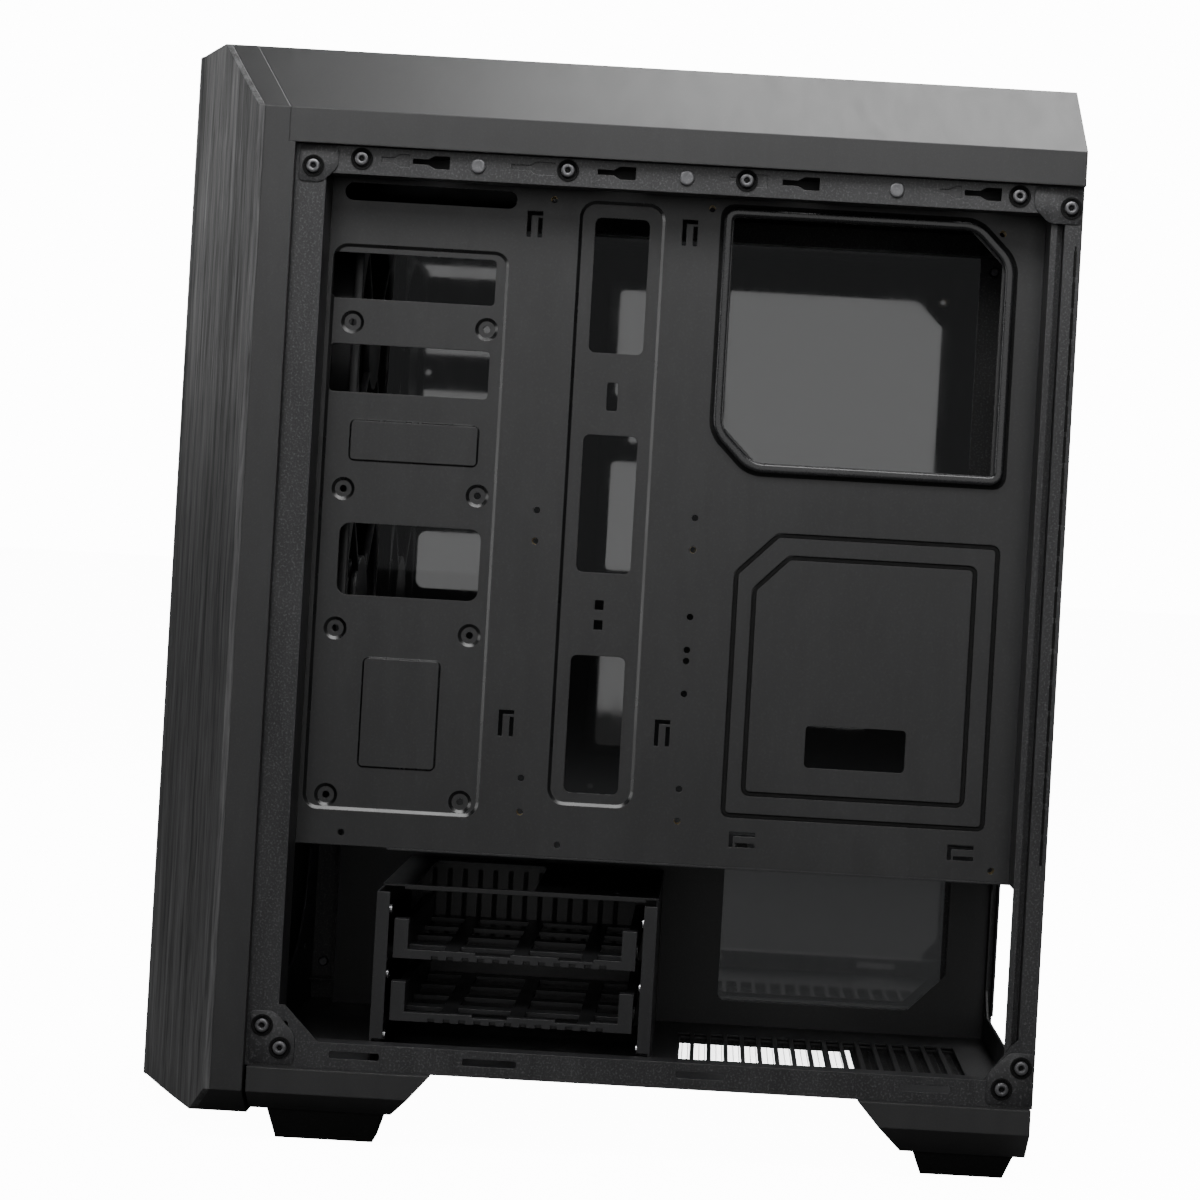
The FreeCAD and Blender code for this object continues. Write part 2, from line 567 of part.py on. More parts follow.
# ---------------------------------------------------------------- expansion slots and fasteners
def slot_cover(z):
    """Vented blanking plate for one expansion slot, inside the rear wall."""
    y1 = REAR_WALL - SHEET
    cover = plate("y", rect(-56, 67, z - 9.2, z + 9.2), y1 - SHEET, y1, 1.0)
    cuts = [plate("y", rect(x, x + 9, z - 4, z + 4), 190, 220, 3.9) for x in range(-32, 56, 13)]
    cuts.append(disc("y", -50, z, 190, 220, 1.6))
    return cover.cut(cuts)


def pan_head(plane, u, v, seat, direction, radius, height):
    """Make a screw head with a cross recess, standing on a face."""
    top = seat + direction * height
    head = disc(plane, u, v, seat, top, radius)
    cuts = []
    for du, dv in ((0.62, 0.16), (0.16, 0.62)):
        corners = rect(u - du * radius, u + du * radius, v - dv * radius, v + dv * radius)
        low, high = sorted((top - direction * height * 0.6, top + direction))
        cuts.append(plate(plane, corners, low, high))
    return head.cut(cuts)


def slot_screws():
    """Screws of the expansion slot covers, on the outside of the rear wall."""
    return Part.makeCompound([pan_head("y", -50, z, REAR_WALL, 1, 3.4, 2.2) for z in slot_centres()])


def rail_fasteners():
    """Pan-head screws and flat rivets along the rails and posts of the open side."""
    places = [(y, TOP_ROW_Z + 0.4) for y in TOP_SCREWS]
    places += [(-138.0, 441.6), (204.4, 441.8), (-139.0, 53.4), (-130.5, 43.6), (203.8, 53.4), (195.5, 43.4)]
    fasteners = [pan_head("x", y, z, OPEN_X, 1, 3.0, 1.6) for y, z in places]
    for y in TOP_RIVETS:
        head = disc("x", y, TOP_ROW_Z, OPEN_X, OPEN_X + 0.9, 3.4)
        rim = [e for e in head.Edges if e.BoundBox.XMin > OPEN_X + 0.8]
        fasteners.append(head.makeChamfer(0.5, rim))
    return Part.makeCompound(fasteners)


# ---------------------------------------------------------------- fans
def fan_frame(z):
    """Square fan frame with a round duct, corner screw holes, and struts that carry the hub."""
    y0 = CHASSIS_FRONT + 2 * SHEET
    y1 = y0 + FAN_DEPTH
    half = FAN / 2
    body = plate("y", rect(FAN_X - half, FAN_X + half, z - half, z + half), y0, y1, 7.0)
    waist = plate("y", rect(FAN_X - half - 1, FAN_X + half + 1, z - half - 1, z + half + 1), y0 + 4, y1 - 4)
    body = body.cut(waist.cut(disc("y", FAN_X, z, y0, y1, half)))
    body = body.cut(disc("y", FAN_X, z, y0 - 1, y1 + 1, 57.5))
    pitch = FAN_PITCH / 2
    body = body.cut([disc("y", FAN_X + a * pitch, z + b * pitch, y0 - 1, y1 + 1, FAN_SCREW_R)
                     for a in (-1, 1) for b in (-1, 1)])
    pieces = [body, disc("y", FAN_X, z, y1 - 3, y1, 22.0)]
    for turn in (45, 135, 225, 315):
        strut = box(FAN_X + 20, FAN_X + 59, y1 - 3, y1, z - 2, z + 2)
        strut.rotate(FreeCAD.Vector(FAN_X, 0, z), FreeCAD.Vector(0, 1, 0), turn)
        pieces.append(strut)
    return fused(pieces)


def fan_rotor(z):
    """Fan hub with nine pitched blades."""
    y0 = CHASSIS_FRONT + 2 * SHEET + 1.5
    depth = 19.5
    hub = disc("y", FAN_X, z, y0, y0 + depth, 20.0)
    hub = hub.makeFillet(2.0, [e for e in hub.Edges if e.BoundBox.YMax < y0 + 0.1])
    pieces = [hub]
    blades = 9
    for i in range(blades):
        blade = box(FAN_X + 17, FAN_X + 60, -1.0, 1.0, z - 15, z + 15)
        blade.rotate(FreeCAD.Vector(FAN_X, 0, z), FreeCAD.Vector(1, 0, 0), 32)
        blade.translate(FreeCAD.Vector(0, y0 + depth / 2, 0))
        blade.rotate(FreeCAD.Vector(FAN_X, 0, z), FreeCAD.Vector(0, 1, 0), i * 360 / blades)
        pieces.append(blade.common(disc("y", FAN_X, z, y0 + 2.4, y0 + depth - 0.4, 55.5)))
    return pieces[0].fuse(pieces[1:])


def fan_screws():
    """Self-tapping screws that hold the front fans, with their heads ahead of the sheet."""
    seat = CHASSIS_FRONT + SHEET
    pitch = FAN_PITCH / 2
    screws = []
    for z in FAN_HEIGHTS[:2]:
        screws += [pan_head("y", FAN_X + a * pitch, z + b * pitch, seat, -1, 4.0, 2.4)
                   for a in (-1, 1) for b in (-1, 1)]
    return Part.makeCompound(screws)


# ---------------------------------------------------------------- plastic trims
def trim_section(inset):
    """Give the trims' cross-section across the case, moved in from the outside."""
    side, top = HALF_WIDTH - inset, HEIGHT - inset
    ridge = RIDGE_Z - 0.3 * inset
    flat = TOP_FLAT_HALF - 0.6 * inset
    low = BEZEL_BOTTOM + inset
    low_edge = BEZEL_LOW_EDGE + 0.4 * inset
    foot = side - 18 + 0.4 * inset
    return [(-foot, low), (foot, low), (side, low_edge), (side, ridge), (flat, top),
            (-flat, top), (-side, ridge), (-side, low_edge)]


def keel(setback, rear):
    """Fill the plan of the front: two gently bowed faces that meet in a rounded nose."""
    side, shoulder = HALF_WIDTH + 10, BEZEL_SHOULDER_Y + 4.7 + setback
    nose_half, nose_y, tip = 10.0, FRONT_Y + 3.5 + setback, FRONT_Y + setback
    bow = 1.0
    middle = ((side + nose_half) / 2, (shoulder + nose_y) / 2 - bow)
    spots = [(side, shoulder), middle, (nose_half, nose_y), (0, tip), (-nose_half, nose_y),
             (-middle[0], middle[1]), (-side, shoulder)]
    p = [FreeCAD.Vector(x, y, 0) for x, y in spots]
    edges = [Part.Arc(p[0], p[1], p[2]).toShape(), Part.Arc(p[2], p[3], p[4]).toShape(),
             Part.Arc(p[4], p[5], p[6]).toShape()]
    back = [p[6], FreeCAD.Vector(-side, rear, 0), FreeCAD.Vector(side, rear, 0), p[0]]
    edges += [Part.LineSegment(back[i], back[i + 1]).toShape() for i in range(3)]
    return Part.Face(Part.Wire(edges)).extrude(FreeCAD.Vector(0, 0, 600))


def seam(setback):
    """Fill everything behind the seam between the front bezel and the top cover."""
    y_side, y_top = -148.8 + setback, -174.4 + setback
    side = HALF_WIDTH + 10
    slope = (y_side - y_top) / (HALF_WIDTH - TOP_FLAT_HALF)
    y_out = y_side + slope * 10
    corners = [(side, y_out), (side, 300), (-side, 300), (-side, y_out),
               (-TOP_FLAT_HALF, y_top), (TOP_FLAT_HALF, y_top)]
    return plate("z", corners, CHASSIS_TOP, 600)


def front_shape(inset, rear):
    """Make the closed outer form of the front, moved in from the outside."""
    section = plate("y", trim_section(inset), FRONT_Y - 10, rear)
    return section.common(keel(inset * 1.1, rear))


def front_bezel():
    """Plastic front body: side bands, sloped shoulders and lower chamfer, hollow inside."""
    outer = plate("y", trim_section(0), FRONT_Y - 10, CHASSIS_FRONT).common(keel(FASCIA, CHASSIS_FRONT))
    cavity = front_shape(FASCIA + PLASTIC, CHASSIS_FRONT + 5)
    shell = outer.cut([cavity, seam(0)])
    intakes = [box(-70 + 14 * i, -62 + 14 * i, -176, -154, 0, 20) for i in range(11)]
    return shell.cut(intakes)


def front_fascia():
    """Brushed skin over the keeled front face."""
    outer = plate("y", trim_section(0), FRONT_Y - 10, CHASSIS_FRONT)
    skin = keel(0, CHASSIS_FRONT).cut(keel(FASCIA, CHASSIS_FRONT + 5))
    return outer.common(skin)


TOP_WINDOW = (-40.0, 40.0, -60.0, 190.0)
FILTER_SEAT = 2.0         # ledge that the top filter rests on
IO_PANEL = (-44.0, 44.0, -150.0, -112.0)


def top_cover():
    """Roof trim with sloped shoulders, a filter recess and the front connector recess."""
    section = plate("y", trim_section(0), -180, REAR_Y)
    hollow = plate("y", trim_section(PLASTIC), -185, REAR_Y - PLASTIC)
    shell = section.cut(hollow).common(seam(0))
    x0, x1, y0, y1 = TOP_WINDOW
    cuts = [plate("z", rect(x0, x1, y0, y1), 480, 520, 4.0),
            plate("z", rect(x0 - 3, x1 + 3, y0 - 3, y1 + 3), HEIGHT - 1.5, 520, 6.0)]
    x0, x1, y0, y1 = IO_PANEL
    cuts.append(plate("z", rect(x0 + 2, x1 - 2, y0 + 2, y1 - 2), 480, 520, 2.0))
    cuts.append(plate("z", rect(x0, x1, y0, y1), HEIGHT - 1.2, 520, 3.0))
    return shell.cut(cuts)


def top_filter():
    """Magnetic dust filter: a thin frame round a screen, resting in the roof's recess."""
    x0, x1, y0, y1 = TOP_WINDOW
    gap = 0.4
    corners = rect(x0 - 3 + gap, x1 + 3 - gap, y0 - 3 + gap, y1 + 3 - gap)
    return plate("z", corners, HEIGHT - 1.5, HEIGHT, 5.6)


FILTER = (-58.0, 48.0, 44.0, 209.0)   # power supply dust filter in plan
FILTER_Z = (31.2, 34.4)


def foot_skirt(side_view, floor_y):
    """Make one plastic base skirt: a sloped-ended plinth across the case, hollow underneath."""
    side = HALF_WIDTH - 1
    low = min(z for y, z in side_view)
    section = [(-side + 14, low), (side - 14, low), (side, 23.7), (side, CHASSIS_BOTTOM),
               (-side, CHASSIS_BOTTOM), (-side, 23.7)]
    block = plate("x", side_view, -side, side).common(plate("y", section, -200, 230))
    return block.cut(box(-56, 56, *floor_y, 0, 26))


def front_foot_skirt():
    """Base skirt under the front of the case."""
    outline = [(-144.5, 14), (-80, 14), (-62, CHASSIS_BOTTOM), (-144.5, CHASSIS_BOTTOM)]
    return foot_skirt(outline, (-141, -84))


def rear_foot_skirt():
    """Base skirt under the rear of the case, with the channel that the dust filter runs in."""
    outline = [(152, 11), (REAR_Y - 1, 11), (REAR_Y - 1, CHASSIS_BOTTOM), (130.8, CHASSIS_BOTTOM)]
    x0, x1, z0 = FILTER[0] - 1, FILTER[1] + 1, FILTER_Z[0] - 0.8
    return foot_skirt(outline, (160, REAR_Y - 4)).cut(box(x0, x1, 120, 220, z0, 40))


def foot_pads():
    """Rubber feet under the four corners of the base skirts."""
    pads = []
    for side in (-1, 1):
        for y0, y1, top in ((-136.8, -84.0, 14.0), (158.0, 204.0, 11.0)):
            low, high = sorted((side * 60.0, side * 86.0))
            base = outline_wire("z", rect(low + 3, high - 3, y0 + 4.2, y1 - 4.4), 0, 3.0)
            head = outline_wire("z", rect(low, high, y0, y1), top, 3.0)
            pads.append(Part.makeLoft([base, head], True, True))
    return Part.makeCompound(pads)


def psu_filter():
    """Dust filter drawer under the floor: a frame round a screen, with a pull tab behind."""
    x0, x1, y0, y1 = FILTER
    low, high = FILTER_Z
    frame = plate("z", rect(x0, x1, y0, y1 - 5), low, high, 2.0)
    window = rect(x0 + 6, x1 - 6, y0 + 4, y1 - 16)
    frame = frame.cut([plate("z", window, low - 1, low + 1.2), plate("z", window, low + 1.8, high + 1)])
    tab = plate("z", rect(x0 + 33, x1 - 33, y1 - 12, y1), low, high, 2.0)
    return fused([frame, tab])


def filter_guides():
    """Two folded guides under the floor that the filter drawer slides in."""
    guides = []
    for wall, step in ((FILTER[0] - 0.5, 1), (FILTER[1] + 0.5, -1)):
        outer, tip = wall - step * 0.9, wall + step * 3
        y0, y1 = FILTER[2], 130.0
        web = box(*sorted((outer, wall)), y0, y1, FILTER_Z[0] - 1.4, CHASSIS_BOTTOM)
        lip = box(*sorted((wall, tip)), y0, y1, FILTER_Z[0] - 1.4, FILTER_Z[0] - 0.4)
        guides.append(fused([web, lip]))
    return Part.makeCompound(guides)


# ---------------------------------------------------------------- front connectors and buttons
IO_MIDDLE_Y = -131.0
POWER_X, POWER_R = -29.0, 9.0
RESET_X, RESET_R = -9.0, 3.6
USB_XS = (7.0, 20.0)
JACK_PLACES = ((34.0, -139.0), (34.0, -123.0))
LED_PLACES = ((-15.5, -141.0), (-15.5, -121.0))
BOARD_Z = (488.0, 489.6)
IO_SEAT = HEIGHT - 1.2    # underside of the connector plate
BUTTON_TRAVEL = 1.5


def io_panel():
    """Connector plate let into the top cover, with four legs for its circuit board."""
    x0, x1, y0, y1 = IO_PANEL
    gap = 0.2
    panel = plate("z", rect(x0 + gap, x1 - gap, y0 + gap, y1 - gap), IO_SEAT, HEIGHT, 2.8)
    legs = [disc("z", x, y, BOARD_Z[1], IO_SEAT, 2.2) for x in (-38, 38) for y in (-145, -117)]
    panel = fused([panel] + legs)
    cuts = [disc("z", POWER_X, IO_MIDDLE_Y, 500, 505, POWER_R + 0.4),
            disc("z", RESET_X, IO_MIDDLE_Y, 500, 505, RESET_R + 0.4)]
    cuts += [plate("z", rect(x - 3.1, x + 3.1, IO_MIDDLE_Y - 6.8, IO_MIDDLE_Y + 6.8), 500, 505, 0.4)
             for x in USB_XS]
    cuts += [disc("z", x, y, 500, 505, 3.7) for x, y in JACK_PLACES]
    cuts += [disc("z", x, y, 500, 505, 1.7) for x, y in LED_PLACES]
    return panel.cut(cuts)


def io_board():
    """Small circuit board behind the connector plate, with its two push switches."""
    x0, x1, y0, y1 = IO_PANEL
    board = box(x0 + 3, x1 - 3, y0 + 3, y1 - 3, *BOARD_Z)
    pieces = [board]
    for x in (POWER_X, RESET_X):
        pieces.append(box(x - 3, x + 3, IO_MIDDLE_Y - 3, IO_MIDDLE_Y + 3, BOARD_Z[1], BOARD_Z[1] + 3.4))
        pieces.append(disc("z", x, IO_MIDDLE_Y, BOARD_Z[1] + 3.4, BOARD_Z[1] + 4.2, 1.6))
    return fused(pieces)


def push_button(x, radius):
    """Make a round button cap with its retaining collar and the stem that works the switch."""
    crown = disc("z", x, IO_MIDDLE_Y, IO_SEAT - 3, HEIGHT, radius)
    crown = crown.makeFillet(0.5, [e for e in crown.Edges if e.BoundBox.ZMin > HEIGHT - 0.1])
    collar = disc("z", x, IO_MIDDLE_Y, IO_SEAT - 1.6, IO_SEAT - 0.3, radius + 1.3)
    stem = disc("z", x, IO_MIDDLE_Y, BOARD_Z[1] + 4.2 + BUTTON_TRAVEL + 0.3, IO_SEAT - 2, 1.6)
    return fused([crown, collar, stem])


def usb_ports():
    """Metal shells of the two front sockets."""
    shells = []
    for x in USB_XS:
        z0, z1 = BOARD_Z[1], HEIGHT - 0.6
        outer = box(x - 2.9, x + 2.9, IO_MIDDLE_Y - 6.55, IO_MIDDLE_Y + 6.55, z0, z1)
        shells.append(outer.cut(box(x - 2.5, x + 2.5, IO_MIDDLE_Y - 6.15, IO_MIDDLE_Y + 6.15, z0 + 1, z1 + 1)))
    return Part.makeCompound(shells)


def usb_tongues():
    """Plastic contact carriers inside the front sockets."""
    z0, z1 = BOARD_Z[1] + 1, HEIGHT - 2.6
    return Part.makeCompound([box(x - 1.8, x, IO_MIDDLE_Y - 5.6, IO_MIDDLE_Y + 5.6, z0, z1) for x in USB_XS])


def audio_jacks():
    """Headphone and microphone sockets."""
    jacks = []
    for x, y in JACK_PLACES:
        body = disc("z", x, y, BOARD_Z[1], HEIGHT - 0.5, 3.4)
        jacks.append(body.cut(disc("z", x, y, BOARD_Z[1] + 1.5, HEIGHT, 1.8)))
    return Part.makeCompound(jacks)


def io_leds():
    """Light pipes of the power and drive lamps."""
    return Part.makeCompound([disc("z", x, y, BOARD_Z[1], HEIGHT - 0.3, 1.45) for x, y in LED_PLACES])


# ---------------------------------------------------------------- glass side panel
def glass_panel():
    """Toughened glass side panel with four corner holes."""
    inner = GLASS_FACE_X - GLASS_GAP
    sheet = plate("x", rect(CHASSIS_FRONT + 0.5, REAR_Y - 0.5, 36, CHASSIS_TOP - 0.5),
                  inner - GLASS_SHEET, inner, 3.0)
    return sheet.cut([disc("x", y, z, inner - 6, inner + 2, 5.0) for y, z in GLASS_HOLES])


def glass_bushings():
    """Rubber bushings in the glass holes, flanged on both faces."""
    inner = GLASS_FACE_X - GLASS_GAP
    outer = inner - GLASS_SHEET
    bushings = []
    for y, z in GLASS_HOLES:
        pieces = [disc("x", y, z, outer - 0.5, outer, 7.2), disc("x", y, z, outer, inner, 5.0),
                  disc("x", y, z, inner, inner + 0.35, 7.2)]
        bushings.append(fused(pieces).cut(disc("x", y, z, outer - 1, inner + 1, 2.3)))
    return Part.makeCompound(bushings)


def glass_thumbscrews():
    """Captive thumbscrews of the glass panel."""
    seat = GLASS_FACE_X - GLASS_GAP - GLASS_SHEET - 0.5
    screws = []
    for y, z in GLASS_HOLES:
        head = disc("x", y, z, -HALF_WIDTH, seat, 6.8)
        ribs = [disc("x", y + 6.9 * math.cos(a), z + 6.9 * math.sin(a), -HALF_WIDTH - 1, seat, 0.5)
                for a in [i * math.pi / 12 for i in range(24)]]
        shank = disc("x", y, z, seat, GLASS_FACE_X + 2.5, 2.2)
        screws.append(fused([head.cut(ribs), shank]))
    return Part.makeCompound(screws)


# ---------------------------------------------------------------- build
def build():
    """Make every node and write it."""
    os.makedirs("parts", exist_ok=True)
    nodes = {
        "bottom_pan": bottom_pan(),
        "right_top_rail": right_top_rail(),
        "right_bottom_rail": right_bottom_rail(),
        "left_top_rail": left_rail(TOP_RAIL_BOTTOM, CHASSIS_TOP, TOP_RAIL_BOTTOM),
        "left_bottom_rail": left_rail(CHASSIS_BOTTOM, BOTTOM_RAIL_TOP, BOTTOM_RAIL_TOP - SHEET),
        "right_front_post": right_front_post(),
        "left_front_post": left_front_post(),
        "right_rear_post": right_rear_post(),
        "left_rear_post": left_rear_post(),
        "front_panel": front_panel(),
        "rear_panel": rear_panel(),
        "top_panel": top_panel(),
        "motherboard_tray": motherboard_tray(),
        "cpu_cutout_trim": cpu_cutout_trim(),
        "board_standoffs": board_standoffs(),
        "psu_shroud_top": psu_shroud_top(),
        "psu_shroud_side": psu_shroud_side(),
        "drive_cage_front_wall": cage_front_wall(),
        "drive_cage_rear_wall": cage_rear_wall(),
        "drive_cage_top": cage_top(),
        "drive_cage_back": cage_back(),
        "slot_screws": slot_screws(),
        "rail_fasteners": rail_fasteners(),
        "drive_cage_screws": drive_cage_screws(),
        "fan_screws": fan_screws(),
        "front_bezel": front_bezel(),
        "front_fascia": front_fascia(),
        "top_cover": top_cover(),
        "top_filter": top_filter(),
        "front_foot_skirt": front_foot_skirt(),
        "rear_foot_skirt": rear_foot_skirt(),
        "foot_pads": foot_pads(),
        "psu_filter": psu_filter(),
        "filter_guides": filter_guides(),
        "io_panel": io_panel(),
        "io_board": io_board(),
        "power_button": push_button(POWER_X, POWER_R),
        "reset_button": push_button(RESET_X, RESET_R),
        "usb_ports": usb_ports(),
        "usb_tongues": usb_tongues(),
        "audio_jacks": audio_jacks(),
        "io_leds": io_leds(),
        "glass_panel": glass_panel(),
        "glass_bushings": glass_bushings(),
        "glass_thumbscrews": glass_thumbscrews(),
    }
    for name, floor in zip(("lower", "upper"), SLED_FLOORS):
        nodes["drive_sled_" + name] = drive_sled(floor)
        nodes["sled_bushes_" + name] = sled_dampers(floor)
    for name, z in zip(("upper", "lower"), FAN_HEIGHTS):
        nodes["fan_frame_" + name] = fan_frame(z)
        nodes["fan_rotor_" + name] = fan_rotor(z)
    for number, z in enumerate(slot_centres()):
        nodes["slot_cover_" + str(number + 1)] = slot_cover(z)
    for name, shape in nodes.items():
        save(name, shape)


build()
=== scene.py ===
import json
import logging
import math
from dataclasses import dataclass
from enum import Enum
from typing import Callable, Iterable, Sequence

import bpy
from mathutils import Matrix, Vector

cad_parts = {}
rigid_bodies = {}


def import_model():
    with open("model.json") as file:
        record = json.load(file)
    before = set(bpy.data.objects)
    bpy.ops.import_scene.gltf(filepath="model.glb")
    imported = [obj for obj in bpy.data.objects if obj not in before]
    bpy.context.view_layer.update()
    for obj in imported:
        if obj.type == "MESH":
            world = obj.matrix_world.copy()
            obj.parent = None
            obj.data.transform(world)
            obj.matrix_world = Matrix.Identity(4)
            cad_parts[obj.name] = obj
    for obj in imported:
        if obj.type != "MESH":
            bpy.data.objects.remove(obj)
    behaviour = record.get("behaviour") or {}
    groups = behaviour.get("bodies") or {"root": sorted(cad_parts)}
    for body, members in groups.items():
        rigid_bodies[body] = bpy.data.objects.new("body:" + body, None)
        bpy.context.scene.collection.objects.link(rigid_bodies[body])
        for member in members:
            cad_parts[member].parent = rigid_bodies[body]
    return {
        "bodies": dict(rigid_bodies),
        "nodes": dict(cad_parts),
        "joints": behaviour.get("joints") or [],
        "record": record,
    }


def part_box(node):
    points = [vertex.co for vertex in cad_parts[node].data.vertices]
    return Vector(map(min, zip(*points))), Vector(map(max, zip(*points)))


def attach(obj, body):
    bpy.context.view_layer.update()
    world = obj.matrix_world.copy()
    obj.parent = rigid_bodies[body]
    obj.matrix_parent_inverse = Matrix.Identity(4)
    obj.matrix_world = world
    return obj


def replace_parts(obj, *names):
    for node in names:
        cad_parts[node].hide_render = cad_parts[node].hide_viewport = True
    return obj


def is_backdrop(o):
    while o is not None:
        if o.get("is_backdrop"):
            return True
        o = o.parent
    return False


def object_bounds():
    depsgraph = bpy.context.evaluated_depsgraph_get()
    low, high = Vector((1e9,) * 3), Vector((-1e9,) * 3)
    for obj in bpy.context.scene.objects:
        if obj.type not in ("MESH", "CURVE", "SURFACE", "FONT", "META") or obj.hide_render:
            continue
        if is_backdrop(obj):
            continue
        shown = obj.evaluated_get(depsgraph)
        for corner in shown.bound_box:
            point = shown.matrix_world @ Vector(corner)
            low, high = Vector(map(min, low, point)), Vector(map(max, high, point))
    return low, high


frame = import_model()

LOG = logging.getLogger("tower")
CAD_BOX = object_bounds()
WHITE = (1.0, 1.0, 1.0, 1.0)
# Near-black colour of the painted shade on the sloped walls of pressed sheets.
SLOPE_SHADE_COLOUR = (0.0015, 0.0015, 0.0016, 1.0)
BEVEL_SAMPLES = 3
CLEARANCE = 0.03
CORNER_SLACK = 0.0001


# ------------------------------------------------------------------ node helpers
class Bench:
    """A node tree on the bench, with short ways to add nodes and join them."""

    def __init__(self, tree: bpy.types.NodeTree) -> None:
        """Take a tree and empty it.

        Args:
            tree: the shader tree or node group to fill.
        """
        self.tree = tree
        self.tree.nodes.clear()

    def add(self, kind: str, inputs: dict | None = None, **settings: object) -> bpy.types.Node:
        """Add one node.

        Args:
            kind: the node's type, without its ShaderNode prefix.
            inputs: values for its input sockets, by name or number.
            settings: attributes to set on the node itself.

        Returns:
            The new node.
        """
        node = self.tree.nodes.new(kind if kind.startswith("Node") else "ShaderNode" + kind)
        for name, value in settings.items():
            setattr(node, name, value)
        for name, value in (inputs or {}).items():
            if isinstance(value, bpy.types.NodeSocket):
                self.tree.links.new(value, node.inputs[name])
            else:
                node.inputs[name].default_value = value
        return node

    def math(self, operation: str, first: object, second: object = 0.0,
             clamp: bool = False) -> bpy.types.NodeSocket:
        """Add a Math node and return its output."""
        node = self.add("Math", {0: first, 1: second}, operation=operation, use_clamp=clamp)
        return node.outputs[0]

    def remap(self, value: bpy.types.NodeSocket, low: float, high: float, to_low: float,
              to_high: float) -> bpy.types.NodeSocket:
        """Map a value from one range onto another, held at the ends.

        Args:
            value: the socket to map.
            low: the start of its own range.
            high: the end of its own range.
            to_low: what the start becomes.
            to_high: what the end becomes.

        Returns:
            The mapped value.
        """
        node = self.add("MapRange", {"Value": value, "From Min": low, "From Max": high,
                                     "To Min": to_low, "To Max": to_high})
        return node.outputs["Result"]

    def mix(self, factor: object, first: object, second: object) -> bpy.types.NodeSocket:
        """Mix two colours by a factor and return the result."""
        node = self.add("Mix", {0: factor, 6: first, 7: second}, data_type="RGBA")
        return node.outputs[2]

    def group(self, tree: bpy.types.NodeTree, inputs: dict) -> bpy.types.Node:
        """Place a shared node group."""
        return self.add("Group", inputs, node_tree=tree)


def new_group(name: str, inputs: dict[str, float], outputs: Sequence[str],
              fill: Callable[[Bench, bpy.types.Node, bpy.types.Node], None]) -> bpy.types.NodeTree:
    """Build a shader node group once.

    Args:
        name: the group's name.
        inputs: float inputs and their defaults.
        outputs: float outputs.
        fill: a function that adds the group's own nodes.

    Returns:
        The node group.
    """
    tree = bpy.data.node_groups.get(name)
    if tree:
        return tree
    tree = bpy.data.node_groups.new(name, "ShaderNodeTree")
    bench = Bench(tree)
    for label, value in inputs.items():
        socket = tree.interface.new_socket(name=label, in_out="INPUT", socket_type="NodeSocketFloat")
        socket.default_value = value
    for label in outputs:
        tree.interface.new_socket(name=label, in_out="OUTPUT", socket_type="NodeSocketFloat")
    fill(bench, bench.add("NodeGroupInput"), bench.add("NodeGroupOutput"))
    return tree


def grain_group() -> bpy.types.NodeTree:
    """Fine pebbled grain: a height, and a speckle that lifts its peaks.

    Returns:
        The node group.
    """

    def fill(bench: Bench, given: bpy.types.Node, out: bpy.types.Node) -> None:
        """Add the grain's two layers of noise.

        Args:
            bench: the group's bench.
            given: its input node.
            out: its output node.
        """
        place = bench.add("TexCoord").outputs["Object"]
        fine = bench.add("TexNoise", {"Vector": place, "Scale": given.outputs["Scale"], "Detail": 2.0,
                                      "Roughness": 0.6})
        cells = bench.add("TexVoronoi", {"Vector": place, "Scale": given.outputs["Scale"]})
        height = bench.math("MULTIPLY_ADD", cells.outputs["Distance"], 0.5)
        bench.tree.links.new(fine.outputs["Fac"], height.node.inputs[2])
        bench.tree.links.new(height, out.inputs["Height"])
        speckle = bench.remap(fine.outputs["Fac"], 0.52, 0.72, 0.0, 1.0)
        bench.tree.links.new(bench.math("MULTIPLY", speckle, given.outputs["Speckle"]), out.inputs["Speckle"])

    return new_group("pebble_grain", {"Scale": 900.0, "Speckle": 0.5}, ("Height", "Speckle"), fill)


def cloud_group() -> bpy.types.NodeTree:
    """Slow unevenness over a whole panel: handling marks and a thin film of dust.

    Returns:
        The node group.
    """

    def fill(bench: Bench, given: bpy.types.Node, out: bpy.types.Node) -> None:
        """Add wide noise, and streaks of wiping inside it.

        Args:
            bench: the group's bench.
            given: its input node.
            out: its output node.
        """
        place = bench.add("TexCoord").outputs["Object"]
        wide = bench.add("TexNoise", {"Vector": place, "Scale": given.outputs["Scale"], "Detail": 4.0})
        squash = bench.add("Mapping", {"Vector": place, "Scale": (1.0, 3.2, 0.7),
                                       "Rotation": (0.5, 0.0, 0.2)})
        wipe = bench.add("TexNoise", {"Vector": squash.outputs[0], "Scale": 34.0, "Detail": 3.0,
                                      "Distortion": 0.8})
        both = bench.math("MULTIPLY", wide.outputs["Fac"], wipe.outputs["Fac"])
        level = bench.remap(both, 0.15, 0.42, 0.0, 1.0)
        bench.tree.links.new(bench.math("MULTIPLY", level, given.outputs["Amount"]), out.inputs["Mask"])

    return new_group("handling_cloud", {"Scale": 9.0, "Amount": 1.0}, ("Mask",), fill)


